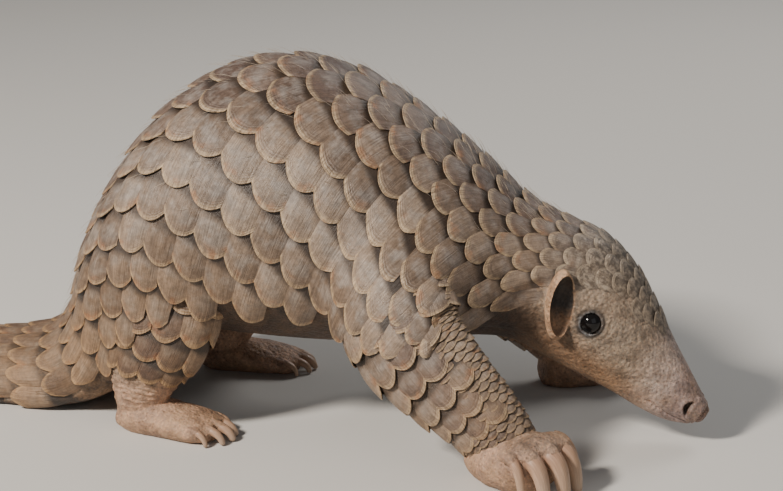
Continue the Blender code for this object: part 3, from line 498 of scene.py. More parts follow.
def leg_cover(limb):
    """How far out one leg stands at each cell, with a slope round it that falls to nothing."""
    ts = np.linspace(0, limb.last, COVER_RINGS)
    ts, angles = np.meshgrid(ts, np.linspace(-COVER_ANGLE, COVER_ANGLE, COVER_SIDES))
    surface = limb.points(ts.ravel(), angles.ravel())
    cover = np.full(COVER_SIZE, -COVER_FAR)
    i, j = (np.round(cell).astype(int) for cell in cover_cells(surface))
    inside = (i >= 0) & (j >= 0) & (i < COVER_SIZE[0]) & (j < COVER_SIZE[1])
    np.maximum.at(cover, (i[inside], j[inside]), limb.side * surface[inside, 1])
    for _ in range(COVER_ROUNDS):
        for axis, step in ((0, -1), (0, 1), (1, -1), (1, 1)):
            cover = np.maximum(cover, np.roll(cover, step, axis) - COVER_SLOPE * COVER_CELL)
            cover[[0, -1]] = -COVER_FAR
            cover[:, -1] = -COVER_FAR
    for _ in range(COVER_SOFTENINGS):
        for axis in (0, 1):
            cover = (np.roll(cover, 1, axis) + 2 * cover + np.roll(cover, -1, axis)) / 4
    return cover


covers = [(limb, leg_cover(limb)) for limb in limbs.values()]


def drape(points):
    """Moves places on the trunk outward where a leg stands out under them, to lie over the leg's top."""
    moved = points.copy()
    for limb, cover in covers:
        out = limb.side * points[:, 1]
        gap = at_cell(cover, *cover_cells(points)) + DRAPE_LIFT - out
        push = (gap + np.sqrt(gap**2 + DRAPE_SOFT**2)) / 2 * np.clip(1 + gap / (3 * DRAPE_SOFT), 0, 1)
        push *= np.clip((FOLD_FRONT - points[:, 0]) / FOLD_REACH, 0, 1)
        moved[:, 1] += limb.side * np.where(out > DRAPE_INNER, push, 0.0)
    return moved


def from_back(angles):
    """Degrees from the middle of the back, on either side."""
    return np.abs(np.degrees((angles + math.pi) % (2 * math.pi) - math.pi))


pushed = np.clip((FOLD_ANGLE - from_back(body_angles)) / FOLD_FADE, 0, 1)
body_points = body_points + pushed[:, None] * (drape(body_points) - body_points)
skin.data.vertices.foreach_set("co", ((body_points - MIDDLE) * 0.001).ravel())
skin.data.update()


# Ears: low fleshy lobes behind the cheeks, pale at the rim, each with a hollow in front, dark above with
# painted shade.
# An ellipsoid has its hollow cut out, and is fused to the head with the rest of the skin.
EAR_STATION, EAR_ANGLE, EAR_TURN = 6.15, 88.0, -18.0
EAR_SIZE, EAR_LIFT = (6.5, 7.0, 17.0), 1.5
EAR_CUP_SIZE, EAR_CUP_PLACE = (7.0, 8.6, 15.3), (3.2, 4.9, 0.4)
EAR_SEGMENTS, EAR_RINGS = 96, 72


def ear_place(side):
    """The middle of one ear, and its axes: forward, outward and up along its rim."""
    spot, ahead, outward, above = surface_frame(EAR_STATION, side * EAR_ANGLE)
    turn = math.radians(EAR_TURN)
    forward = math.cos(turn) * ahead - math.sin(turn) * above
    up = math.cos(turn) * above + math.sin(turn) * ahead
    return spot + EAR_LIFT * outward, np.array([forward, outward, up])


def ellipsoid(name, centre, axes, sizes, segments, rings):
    turn = np.arange(segments) / segments * 2 * math.pi
    points = [centre + sizes[2] * axes[2]]
    for k in range(1, rings):
        lean = math.pi * k / rings
        level = np.cos(turn)[:, None] * sizes[0] * axes[0] + np.sin(turn)[:, None] * sizes[1] * axes[1]
        points.extend(centre + math.sin(lean) * level + math.cos(lean) * sizes[2] * axes[2])
    points.append(centre - sizes[2] * axes[2])
    faces = [(0, 1 + i, 1 + (i + 1) % segments) for i in range(segments)]
    for low in range(1, 1 + (rings - 2) * segments, segments):
        for i in range(segments):
            j = (i + 1) % segments
            faces.append((low + i, low + segments + i, low + segments + j, low + j))
    low, end = 1 + (rings - 2) * segments, 1 + (rings - 1) * segments
    faces += [(low + i, end, low + (i + 1) % segments) for i in range(segments)]
    return closed_piece(name, np.array(points), faces)


def fuse(piece, others, operation):
    """Applies one Boolean with the others, which are then removed. Each keeps its own slot number."""
    operands = bpy.data.collections.new("operands")
    bpy.context.scene.collection.children.link(operands)
    for other in others:
        bpy.context.scene.collection.objects.unlink(other)
        operands.objects.link(other)
    modifier = piece.modifiers.new("fuse", "BOOLEAN")
    modifier.operation = operation
    modifier.operand_type = "COLLECTION"
    modifier.collection = operands
    modifier.solver = "MANIFOLD"
    graph = bpy.context.evaluated_depsgraph_get()
    mesh = bpy.data.meshes.new_from_object(piece.evaluated_get(graph))
    piece.modifiers.clear()
    piece.data = mesh
    for other in others:
        bpy.data.objects.remove(other)
    bpy.data.collections.remove(operands)


for side in (-1, 1):
    centre, axes = ear_place(side)
    ear = ellipsoid("ear", centre, axes, EAR_SIZE, EAR_SEGMENTS, EAR_RINGS)
    cup = ellipsoid("cup", centre + EAR_CUP_PLACE @ axes, axes, EAR_CUP_SIZE, EAR_SEGMENTS, EAR_RINGS)
    fuse(ear, [cup], "DIFFERENCE")
    flesh.append(ear)


# The whole skin: everything above fused into one, and the seams drawn smooth as flesh grows together.
# It stands for every solid of flesh. Bare parts are greyish pink, darker on the nose, with painted shade on
# belly and brow.
SEAM_WIDTH, SEAM_CORE, SEAM_ROUNDS, SEAM_PULL = 3.2, 1.3, 14, 0.6

for number, piece in enumerate([skin] + flesh):
    for _ in range(len(flesh) + 1):
        piece.data.materials.append(None)
    piece.data.polygons.foreach_set("material_index", np.full(len(piece.data.polygons), number, np.int32))
fuse(skin, flesh, "UNION")


def rows_of(collection, key, width, kind=float):
    """One property of every item in a mesh, as rows of numbers."""
    values = np.empty(len(collection) * width, kind)
    collection.foreach_get(key, values)
    return values.reshape(-1, width)


def search_tree(points):
    tree = KDTree(len(points))
    for k, point in enumerate(points):
        tree.insert(point, k)
    tree.balance()
    return tree


def smooth_seams(piece):
    """Draws the skin smooth near each line where faces of two operands meet."""
    mesh = piece.data
    points = rows_of(mesh.vertices, "co", 3)
    source = rows_of(mesh.polygons, "material_index", 1, np.int32)[:, 0]
    lowest, highest = np.full(len(points), 999), np.full(len(points), -1)
    for polygon in mesh.polygons:
        for v in polygon.vertices:
            lowest[v] = min(lowest[v], source[polygon.index])
            highest[v] = max(highest[v], source[polygon.index])
    tree = search_tree(points[lowest != highest])
    distance = np.array([tree.find(point)[2] for point in points]) * 1000
    weight = np.clip(SEAM_CORE - distance / SEAM_WIDTH, 0, 1)
    edges = rows_of(mesh.edges, "vertices", 2, np.int32)
    count = np.bincount(edges.ravel(), minlength=len(points))[:, None]
    for _ in range(SEAM_ROUNDS):
        total = np.zeros_like(points)
        np.add.at(total, edges[:, 0], points[edges[:, 1]])
        np.add.at(total, edges[:, 1], points[edges[:, 0]])
        points = points + (total / np.maximum(count, 1) - points) * SEAM_PULL * weight[:, None]
    points[:, 2] = np.maximum(points[:, 2], FLOOR_GAP * 0.001)
    mesh.vertices.foreach_set("co", points.ravel())
    mesh.polygons.foreach_set("material_index", np.zeros(len(mesh.polygons), np.int32))
    mesh.materials.clear()
    mesh.update()


smooth_seams(skin)
skin.data.shade_smooth()


def store(mesh, key, values):
    """Keeps one number for each vertex of a mesh, or the four of a colour."""
    kind, label = ("FLOAT", "value") if values.ndim == 1 else ("FLOAT_COLOR", "color")
    mesh.attributes.new(key, kind, "POINT").data.foreach_set(label, values.astype(np.float32).ravel())


def connect(tree, made, **inputs):
    """Sets inputs of a shader node, by name or number, to values or links them to other sockets."""
    for key, value in inputs.items():
        socket = made.inputs[int(key[1:])] if key[0] == "_" else made.inputs[key.replace("_", " ")]
        if isinstance(value, bpy.types.NodeSocket):
            tree.links.new(value, socket)
        else:
            socket.default_value = value


def shader(name, **inputs):
    """A new material with its tree and its Principled shader."""
    made = bpy.data.materials.new(name)
    made.use_nodes = True
    principled = made.node_tree.nodes["Principled BSDF"]
    connect(made.node_tree, principled, **inputs)
    return made, made.node_tree, principled


def node(tree, kind, settings=(), **inputs):
    """One shader node, with its own settings and its inputs."""
    made = tree.nodes.new(kind)
    for key, value in dict(settings).items():
        setattr(made, key, value)
    connect(tree, made, **inputs)
    return made


def mix(tree, factor, first, second, kind="MIX"):
    settings = {"data_type": "RGBA", "blend_type": kind}
    return node(tree, "ShaderNodeMix", settings, _0=factor, _6=first, _7=second).outputs[2]


def shaded(tree, colour, shade):
    return mix(tree, 1.0, colour, shade, "MULTIPLY")


def ranged(tree, value, low, high, to_low=0.0, to_high=1.0):
    """A value drawn smoothly from one range to another, and held at its ends."""
    kind, settings = "ShaderNodeMapRange", {"interpolation_type": "SMOOTHSTEP"}
    return node(tree, kind, settings, _0=value, _1=low, _2=high, _3=to_low, _4=to_high).outputs[0]


def math_node(tree, kind, first, second):
    return node(tree, "ShaderNodeMath", {"operation": kind}, _0=first, _1=second).outputs[0]


def multiply(tree, first, second):
    return math_node(tree, "MULTIPLY", first, second)


def object_place(tree):
    return node(tree, "ShaderNodeTexCoord").outputs["Object"]


def clouds(tree, place, scale, detail, roughness=0.5):
    """Noise of one scale, from 0 to 1."""
    kind = "ShaderNodeTexNoise"
    return node(tree, kind, Vector=place, Scale=scale, Detail=detail, Roughness=roughness).outputs["Fac"]


def stored(tree, key, output="Fac"):
    """What store kept for each vertex."""
    return node(tree, "ShaderNodeAttribute", {"attribute_name": key}).outputs[output]


def bump(tree, strength, distance, height):
    return node(tree, "ShaderNodeBump", Strength=strength, Distance=distance, Height=height).outputs[0]


def group(name, inputs, outputs):
    """A shared shader effect, as a node group whose inputs have a name, a kind and a value."""
    made = bpy.data.node_groups.new(name, "ShaderNodeTree")
    for label, kind, value in inputs:
        socket = made.interface.new_socket(label, in_out="INPUT", socket_type="NodeSocket" + kind)
        socket.default_value = value
    for label, kind in outputs:
        made.interface.new_socket(label, in_out="OUTPUT", socket_type="NodeSocket" + kind)
    return made, made.nodes.new("NodeGroupInput").outputs, made.nodes.new("NodeGroupOutput").inputs


def use(tree, made, **inputs):
    """One use of a shared effect in a material."""
    return node(tree, "ShaderNodeGroup", {"node_tree": made}, **inputs).outputs


# Dry soil that clings in patches, and thickest near the floor.
SOIL = (0.42, 0.255, 0.14, 1)
dust, given, result = group(
    "soil_dust",
    [("Colour", "Color", (0.2, 0.2, 0.2, 1)), ("Place", "Vector", (0, 0, 0)), ("Amount", "Float", 0.5)],
    [("Colour", "Color"), ("Mask", "Float")],
)
patches = ranged(dust, clouds(dust, given["Place"], 38.0, 5.0, 0.65), 0.38, 0.68)
grains = ranged(dust, clouds(dust, given["Place"], 700.0, 2.0), 0.3, 0.6, 0.45, 1.0)
height = node(dust, "ShaderNodeSeparateXYZ", Vector=given["Place"]).outputs["Z"]
low = ranged(dust, height, 0.055, 0.0, 0.2, 1.0)
mask = multiply(dust, multiply(dust, multiply(dust, patches, grains), low), given["Amount"])
dust.links.new(mix(dust, mask, given["Colour"], SOIL), result["Colour"])
dust.links.new(mask, result["Mask"])

# Colours of the skin, by region. The darkest ones are painted shade.
FACE, FACE_TOP_SHADE, SNOUT = (0.29, 0.225, 0.168), (0.075, 0.064, 0.056), (0.56, 0.44, 0.40)
NOSE_PAD, NOSTRIL, LID_RIM = (0.12, 0.07, 0.062), (0.02, 0.01, 0.008), (0.20, 0.21, 0.23)
EAR_RIM, EAR_HOLLOW_SHADE, EAR_FLOOR = (0.50, 0.32, 0.20), (0.02, 0.013, 0.01), (0.22, 0.125, 0.07)
JAW, UNDERSIDE_SHADE, COVERED_SKIN_SHADE = (0.30, 0.185, 0.11), (0.045, 0.028, 0.02), (0.05, 0.036, 0.028)
TAIL_TIP, PAW, LEG = (0.30, 0.2, 0.125), (0.42, 0.27, 0.19), (0.24, 0.17, 0.12)
PAW_TOP, PAW_FADE, LEG_TOP = 30.0, 10.0, 125.0


def fade(value, none, full):
    """A weight that is 0 where the value is at none and 1 where it is at full."""
    return np.clip((value - none) / (full - none), 0, 1)


def region_colours(piece):
    """The colour of each part of the skin, blended where two meet, and how moist it is.
    Places on the body are told by t, which counts stations, and by degrees from the middle of the back."""
    placed = rows_of(piece.data.vertices, "co", 3) * 1000 + MIDDLE
    tree = search_tree(body_points)
    found = [tree.find(point)[1:] for point in placed]
    nearest, away = (np.array(values) for values in zip(*found))
    t, turn = body_t[nearest], from_back(body_angles[nearest])
    edge = np.minimum(at_station(SCALE_EDGES, t), at_station(SCALE_REACHES, t))
    colour = np.tile(np.array(FACE), (len(placed), 1))

    def blend(weight, shade):
        weight = np.clip(weight, 0, 1)[:, None]
        colour[:] = colour * (1 - weight) + np.array(shade) * weight

    blend(fade(turn, 98, 120) * fade(t, 1.6, 2.4), JAW)
    # Painted shade darkens the throat and belly.
    blend(fade(t, 5.2, 7.0) * fade(turn, 92, 106), UNDERSIDE_SHADE)
    # Painted shade darkens the top of the face.
    blend(fade(turn, 38, 12) * (t > 1.2), FACE_TOP_SHADE)
    blend(fade(t, 3.9, 2.2), SNOUT)
    blend(np.clip(2.75 - t, 0, 0.62), NOSE_PAD)
    blend(fade(t, 1.2, 0.4), NOSE_PAD)
    wet = fade(t, 1.5, 0.7)
    # Painted shade darkens the skin that lies under the plates.
    blend(fade(edge - turn, 0, 8) * fade(t, 5.8, 7.2), COVERED_SKIN_SHADE)
    blend(fade(body.last - t, 1.7, 1.3), TAIL_TIP)
    limb = fade(away, 0.6, 2.1) * (placed[:, 2] < LEG_TOP)
    for side in (-1, 1):
        distance, ahead, out = from_eye(placed, side)
        near = np.abs(out) < EYE_DEPTH
        # Painted shade darkens a ring round each eye.
        blend(fade(distance, 1.62, 1.32) * near, FACE_TOP_SHADE)
        lit = np.maximum(fade(ahead, EYE_OPENING, -EYE_OPENING), 0.15)
        blend((1.2 - distance) / 0.08 * near * (distance > 0.97) * lit, LID_RIM)
        wet += fade(distance, 1.3, 1.1) * near
        distance, ahead, above, out = from_nostril(placed, side)
        near = np.abs(out) < NOSTRIL_DEPTH + 1
        # Painted shade darkens each nostril's slit.
        blend(fade(distance, 1.5, 1.0) * near, NOSTRIL)
        wet += np.exp(-(ahead**2 + above**2) / 16.0) * near
        centre, axes = ear_place(side)
        within = np.linalg.norm((placed - centre) @ axes.T / EAR_SIZE, axis=1)
        hollow = np.linalg.norm((placed - centre - EAR_CUP_PLACE @ axes) @ axes.T / EAR_CUP_SIZE, axis=1)
        blend(fade(within, 1.12, 1.02), EAR_RIM)
        inside = fade(hollow, 1.09, 1.03) * fade(within, 0.985, 0.935)
        above = (placed - centre) @ axes[2] / EAR_SIZE[2]
        blend(inside, EAR_FLOOR)
        # Painted shade darkens the upper part of each ear's hollow.
        blend(inside * fade(above, -0.55, -0.05), EAR_HOLLOW_SHADE)
        limb *= within > 1.1
    blend(limb, LEG)
    blend(limb * (PAW_TOP - placed[:, 2]) / PAW_FADE, PAW)
    store(piece.data, "region", np.concatenate([colour, np.ones((len(placed), 1))], axis=1))
    store(piece.data, "moist", np.clip(wet, 0, 1))


region_colours(skin)
material, tree, principled = shader("bare_skin")
place = object_place(tree)
region, moist = stored(tree, "region", "Color"), stored(tree, "moist")
blotches, specks = clouds(tree, place, 150.0, 5.0, 0.65), clouds(tree, place, 750.0, 3.0)
pores = node(tree, "ShaderNodeTexVoronoi", Vector=place, Scale=520.0).outputs["Distance"]
colour = mix(tree, ranged(tree, blotches, 0.34, 0.66), shaded(tree, region, (0.5, 0.48, 0.47, 1)), region)
colour = mix(tree, ranged(tree, specks, 0.47, 0.63), colour, shaded(tree, colour, (1.45, 1.35, 1.25, 1)))
colour = mix(tree, ranged(tree, pores, 0.34, 0.16), colour, shaded(tree, colour, (0.6, 0.57, 0.55, 1)))
dusty = use(tree, dust, Colour=colour, Place=place, Amount=0.7)
dull = ranged(tree, blotches, 0.3, 0.7, 0.5, 0.72)
cells = node(tree, "ShaderNodeTexVoronoi", {"feature": "SMOOTH_F1"}, Vector=place, Scale=620.0)
relief = multiply(tree, cells.outputs["Distance"], 0.6)
relief = math_node(tree, "ADD", relief, clouds(tree, place, 260.0, 6.0, 0.7))
connect(
    tree, principled,
    Base_Color=dusty["Colour"],
    Roughness=math_node(tree, "SUBTRACT", dull, multiply(tree, moist, 0.3)),
    Normal=bump(tree, 0.9, 0.0011, relief),
    Subsurface_Weight=0.08,
    Subsurface_Radius=(0.004, 0.0015, 0.001),
)
skin.data.materials.append(material)
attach(skin, "root")
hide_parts("head", "neck", "chest", "back", "rump", "tail_1", "tail_2", "tail_3", "tail_4")
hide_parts("ear_right", "ear_left", "foreleg_right", "foreleg_left", "hindleg_right", "hindleg_left")
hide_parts("forepaw_right", "forepaw_left", "hindpaw_right", "hindpaw_left")


# Eyes: small black bulging eyes, wet and glossy, with a brown iris that hardly shows.
# Each is a ball set in its socket, where the solid eye stands.
EYE_RADIUS, EYE_SUNK, EYE_SEGMENTS, EYE_RINGS = 5.2, 2.2, 64, 48
EYE_BLACK = (0.006, 0.005, 0.005, 1)

for side, side_name in ((-1, "right"), (1, "left")):
    spot, forward, outward, up = surface_frame(EYE_STATION, side * EYE_ANGLE)
    centre, sizes = spot - EYE_SUNK * outward, (EYE_RADIUS,) * 3
    eye = ellipsoid("eyeball_" + side_name, centre, (forward, up, outward), sizes, EYE_SEGMENTS, EYE_RINGS)
    eye.data.shade_smooth()
    material = shader("wet_eye_" + side_name, Roughness=0.05, Base_Color=EYE_BLACK, IOR=1.38)[0]
    eye.data.materials.append(material)
    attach(eye, "root")
    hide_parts("eye_" + side_name)


# Scales of head, trunk and tail: overlapping horn plates, keeled at the flank, rooted in the skin.
# Every plate is a thin closed shell with a rounded tip, in staggered rows from the crown to the tail's tip.
# They lie tailward along the back and turn downward on the flanks, where they also lie over the legs' tops.
FIRST_SCALES, LAST_SCALES_BEFORE_TIP = 3.9, 6.0
# A plate's points across and along it, and how they draw together towards its sides and its tip.
ACROSS, ALONG, ACROSS_POWER, ALONG_POWER = 13, 11, 0.9, 1.25
# In shares of what shows of a plate: its root, its rounded tip, and how much its root narrows.
PLATE_ROOT, TIP_DEPTH, TIP_POWER, NARROWED, WIDENED = 1.95, 0.36, 2.2, 0.4, 1.04
# Plates are turned about a point this share of their length before the tip, on a lattice of equal spacing.
PIVOT, LATTICE = 0.62, 0.866
# How far the flanks' plates are turned down at some stations, and the share of it away from the back.
TURNS = ((6.5, 7.5, 9.0, 10.5, 13.0, 14.5, 16.0, 17.5, 18.5), (10, 28, 50, 60, 60, 52, 34, 14, 0))
TURN_SHARES = ((0.0, 0.04, 0.12, 0.22), (0.0, 0.2, 0.62, 1.0))
TIP_HEIGHT, FALL_TO_ROOT, SIDE_FALL, THICKNESS, LIP = 3.2, 1.9, 0.9, 1.15, 0.22
THIN_EDGE, THICK_FROM, SHARP_ANGLE = 0.55, 0.5, 48
BULGE, BULGE_END, KEEL, KEEL_START, KEEL_FADE = 0.55, 1.2, 0.9, 0.36, 0.1
# Shorter plates are flatter, and have their rim drawn as if they were as long as this.
FULL_LENGTH, LEAST_FLAT, LEAST_RIM = 15.0, 0.45, 9.0
# The chance differences of each plate: degrees turned, length, height of the tip, lean, and bluntness.
CHANCES = ((-5, 5), (-0.05, 0.05), (-0.3, 0.25), (-0.3, 0.3), (0.85, 1.1))
# Where outer and inner faces lie in the map for baking, their share of a cell's width, and the margin.
OUTER_STRIP, INNER_STRIP, MAP_CELL, MAP_MARGIN = (0.02, 0.74), (0.80, 0.16), 0.92, 0.1
# The share of a plate that decides which piece it is in, the degrees that a row stops short of bare skin,
# and how far a root counts as covered that no plate of the row before lies on.
# A covered root gets painted shade in the horn's colours.
ROW_SHARE, ROW_STOP, ROW_MARGIN, OPEN, BODY_SEED = 0.68, 3.0, 0.01, 0.15, 11
# Plates lie flat at the band's edges, and stand up less on the head. The crown's colours fade out past it.
EDGE_FADE, EDGE_FLAT, HEAD_STANDS, CROWN_FADE = 9.0, 0.05, ([4.5, 7.4], [0.75, 1.0]), (7.6, 6.2)
# The pieces, with the station where each starts, and its columns of scales.
SCALE_PIECES = {
    "scales_crown": (0.0, 13),
    "scales_neck": (7.0, 13),
    "scales_shoulders": (9.2, 12),
    "scales_back": (11.6, 12),
    "scales_rump": (14.2, 12),
    "scales_tail_root": (17.2, 9),
    "scales_tail_middle": (19.2, 7),
    "scales_tail_end": (22.1, 5),
}


def lay_rows(tube, lengths, first, last_run):
    """Each row of plates: t of the tips, t that one shown length takes, and its millimetres."""
    rows = []
    at = np.interp(first, tube.t_grid, tube.run)
    while at < last_run:
        tip = np.interp(at, tube.run, tube.t_grid)
        length = at_station(lengths, tip)
        rows.append((tip, tip - np.interp(at - length, tube.run, tube.t_grid), length))
        at += length
    return rows


def plate_faces():
    """Strips of quads that close one plate: outer face, inner face, sides, root and free edge."""
    outer = np.arange(ACROSS * ALONG).reshape(ALONG, ACROSS)
    inner = outer + ACROSS * ALONG
    lip = 2 * ACROSS * ALONG + np.arange(ACROSS)
    strips = [(outer[j], outer[j + 1]) for j in range(ALONG - 1)]
    strips += [(inner[:, i], inner[:, i + 1]) for i in range(ACROSS - 1)]
    strips += [(outer[:, 0], inner[:, 0]), (inner[:, -1], outer[:, -1]), (outer[-1], inner[-1])]
    strips += [(outer[0, ::-1], lip[::-1]), (lip[::-1], inner[0, ::-1])]
    faces = [(a[k], a[k + 1], b[k + 1], b[k]) for a, b in strips for k in range(len(a) - 1)]
    faces += [(outer[0, 0], inner[0, 0], lip[0]), (outer[0, -1], lip[-1], inner[0, -1])]
    return [tuple(int(v) for v in face) for face in faces]


def repeated(faces, each, count):
    """The faces of one item of each points, for count items."""
    return [tuple(v + k * each for v in face) for k in range(count) for face in faces]


def store_map(mesh, name, u, v):
    """A UV map from two values at each vertex."""
    loops = rows_of(mesh.loops, "vertex_index", 1, np.int32)[:, 0]
    mesh.uv_layers.new(name=name).data.foreach_set("uv", np.stack([u, v], axis=1)[loops].ravel())


PLATE_FACES = plate_faces()


def make_plates(name, tube, plates, relief, seed, draped=False):
    """One piece of many plates. Each has its tip's t, t and mm of its shown length, the share of its middle,
    columns, turn and how far its root is covered."""
    draw = np.random.default_rng(seed)
    count = len(plates)
    shape = (count, ALONG, ACROSS)
    each = (np.array(values, float)[:, None, None] for values in zip(*plates))
    tip, step, length, middle, columns, turn, covered = each
    turned, longer, higher, lean, blunt = (draw.uniform(*spread, (count, 1, 1)) for spread in CHANCES)
    turn = np.radians(turn + turned)

    def at_points(values):
        return np.broadcast_to(values, shape).reshape(-1)

    across = np.linspace(-1, 1, ACROSS)[None, None, :]
    across = np.sign(across) * np.abs(across) ** ACROSS_POWER
    down = (np.linspace(0, 1, ALONG) ** ALONG_POWER)[None, :, None]
    edge = TIP_DEPTH * blunt * np.abs(across) ** TIP_POWER
    along = edge + down * (PLATE_ROOT - edge)
    width = across * (1 - NARROWED * fade(along, 1.0, PLATE_ROOT) ** 2)
    ahead = (PIVOT + longer - along) * LATTICE
    aside = WIDENED * width / 2
    t = at_points(tip + ((ahead * np.cos(turn) - aside * np.sin(turn)) / LATTICE - PIVOT) * step)
    share = at_points(middle + (ahead * np.sin(turn) + aside * np.cos(turn)) / columns)
    angle = tube.angle_at(t, share)
    base, normal = tube.points(t, angle), tube.normals(t, angle)
    if draped:
        base = drape(base)

    small = np.clip(length / FULL_LENGTH, LEAST_FLAT, 1.0)
    free = 1 - along / PLATE_ROOT
    keel = fade(np.abs(middle), KEEL_START, KEEL_START + KEEL_FADE) * KEEL * (1 - np.abs(width))
    bulge = BULGE * np.sin(np.pi * np.clip((along - edge) / BULGE_END, 0, 1)) * (1 - width**2)
    height = TIP_HEIGHT - FALL_TO_ROOT * along - SIDE_FALL * width**2 + keel * free + bulge
    height = at_points(height * small + (higher + lean * width) * free) * relief(t, angle)
    thick = THIN_EDGE + (1 - THIN_EDGE) * np.minimum(along - edge, THICK_FROM) / THICK_FROM
    thick = at_points(THICKNESS * thick * small)
    outer = (base + height[:, None] * normal).reshape(count, -1, 3)
    inner = (base + (height - thick)[:, None] * normal).reshape(count, -1, 3)
    tailward = unit(outer[:, :ACROSS] - outer[:, ACROSS : 2 * ACROSS])
    lip = (outer[:, :ACROSS] + inner[:, :ACROSS]) / 2 + LIP * tailward
    points = np.concatenate([outer, inner, lip], axis=1)
    each = points.shape[1]
    points = points.reshape(-1, 3)
    points[:, 2] = np.maximum(points[:, 2], FLOOR_GAP)
    piece = mesh_piece(name, points, repeated(PLATE_FACES, each, count))

    def per_vertex(values):
        values = at_points(values).reshape(count, -1)
        return np.concatenate([values, values, values[:, :ACROSS]], axis=1).reshape(-1)

    layer = np.concatenate([np.zeros(ACROSS * ALONG), np.ones(ACROSS * ALONG), np.full(ACROSS, 0.5)])
    beneath = np.tile(layer, count)
    sideways, rootward = per_vertex(width / 2 + 0.5), per_vertex(along / PLATE_ROOT)
    store_map(piece.data, "Plate", sideways, rootward)
    runs, shown = np.interp(per_vertex(tip - step), tube.t_grid, tube.run), per_vertex(length)
    start, size = np.where(beneath[:, None] > 0, INNER_STRIP, OUTER_STRIP).T
    u = (runs + shown * (start + size * (1 - rootward)) - runs.min()) / ((runs + shown).max() - runs.min())
    v = per_vertex(middle) + 0.5 + per_vertex(1.0 / columns) * MAP_CELL * (sideways - 0.5)
    store_map(piece.data, "OFBake", u, (v + MAP_MARGIN) / (1 + 2 * MAP_MARGIN))
    store(piece.data, "tone", per_vertex(draw.uniform(0, 1, (count, 1, 1))))
    store(piece.data, "rim", per_vertex((along - edge) * np.maximum(length, LEAST_RIM)))
    store(piece.data, "flank", per_vertex(np.abs(middle) * 2))
    store(piece.data, "beneath", beneath)
    store(piece.data, "covered", per_vertex(covered))
    store(piece.data, "crown", per_vertex(fade(tip, *CROWN_FADE) * (tube is body)))
    piece.data.shade_smooth()
    piece.data.set_sharp_from_angle(angle=math.radians(SHARP_ANGLE))
    piece.data.materials.append(horn)
    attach(piece, "root")


def body_relief(t, angle):
    """How much the plates stand up, from 0 to 1: only the crown of the head bears them."""
    inside = (at_station(SCALE_EDGES, t) - np.abs(np.degrees(angle))) / EDGE_FADE
    return np.clip(inside, EDGE_FLAT, 1.0) * np.interp(t, *HEAD_STANDS)


def body_plates():
    """The plates of each piece, row by row from the crown to the tail's tip."""
    rows = lay_rows(body, SCALE_LENGTHS, FIRST_SCALES, body.run[-1] - LAST_SCALES_BEFORE_TIP)
    made = {name: [] for name in SCALE_PIECES}
    before = 0.0
    for index, (tip, step, length) in enumerate(rows):
        name = [name for name, (start, _) in SCALE_PIECES.items() if tip - ROW_SHARE * step >= start][-1]
        columns = SCALE_PIECES[name][1]
        for half in range((index + columns) % 2, 2 * columns + 1, 2):
            middle = half / (2 * columns) - 0.5
            angle = math.degrees(body.angle_at(np.array([tip]), np.array([middle]))[0])
            if abs(angle) <= at_station(SCALE_EDGES, tip) - ROW_STOP:
                turn = np.interp(tip, *TURNS) * np.interp(abs(middle), *TURN_SHARES) * np.sign(middle)
                covered = 1.0 if abs(middle) - 0.5 / columns < before else OPEN
                made[name].append((tip, step, length, middle, columns, turn, covered))
        before = max((abs(plate[3]) + ROW_MARGIN for plate in made[name]), default=0.0)
    return made


# Horn: fine streaks along it, and growth lines that follow its free edge.
grain, given, result = group(
    "horn_grain",
    [("Across", "Float", 0.0), ("Along", "Float", 0.0), ("Rim", "Float", 5.0), ("Seed", "Float", 0.0)],
    [("Streaks", "Float"), ("Height", "Float")],
)
spread = node(
    grain, "ShaderNodeCombineXYZ",
    X=multiply(grain, given["Across"], 26.0),
    Y=multiply(grain, given["Along"], 2.2),
    Z=multiply(grain, given["Seed"], 57.0),
).outputs[0]
streaks, wander = clouds(grain, spread, 1.0, 5.0, 0.7), clouds(grain, spread, 0.22, 3.0)
phase = math_node(grain, "ADD", multiply(grain, given["Rim"], 4.6), multiply(grain, wander, 9.0))
lines = multiply(grain, math_node(grain, "SINE", phase, 0.0), ranged(grain, given["Rim"], 7.0, 1.0))
grain.links.new(streaks, result["Streaks"])
grain.links.new(math_node(grain, "ADD", streaks, multiply(grain, lines, 0.1)), result["Height"])

# Colours of the horn, dark and light for the back, the flanks and the crown of the head.
BACK_DARK, BACK_LIGHT = (0.085, 0.055, 0.045, 1), (0.165, 0.12, 0.098, 1)
FLANK_DARK, FLANK_LIGHT = (0.15, 0.108, 0.08, 1), (0.30, 0.232, 0.178, 1)
CROWN_DARK, CROWN_LIGHT, CROWN_RIM = (0.10, 0.085, 0.073, 1), (0.34, 0.29, 0.235, 1), (0.40, 0.34, 0.27, 1)
# The pale rim is paler horn with a painted highlight on it.
WORN, PALE_RIM_AND_HIGHLIGHT, STAIN = (0.27, 0.25, 0.238, 1), (0.50, 0.375, 0.235, 1), (0.33, 0.155, 0.07, 1)
WARMTH, SHADOW = (0.88, 0.745, 0.59, 1), (0.035, 0.024, 0.018, 1)

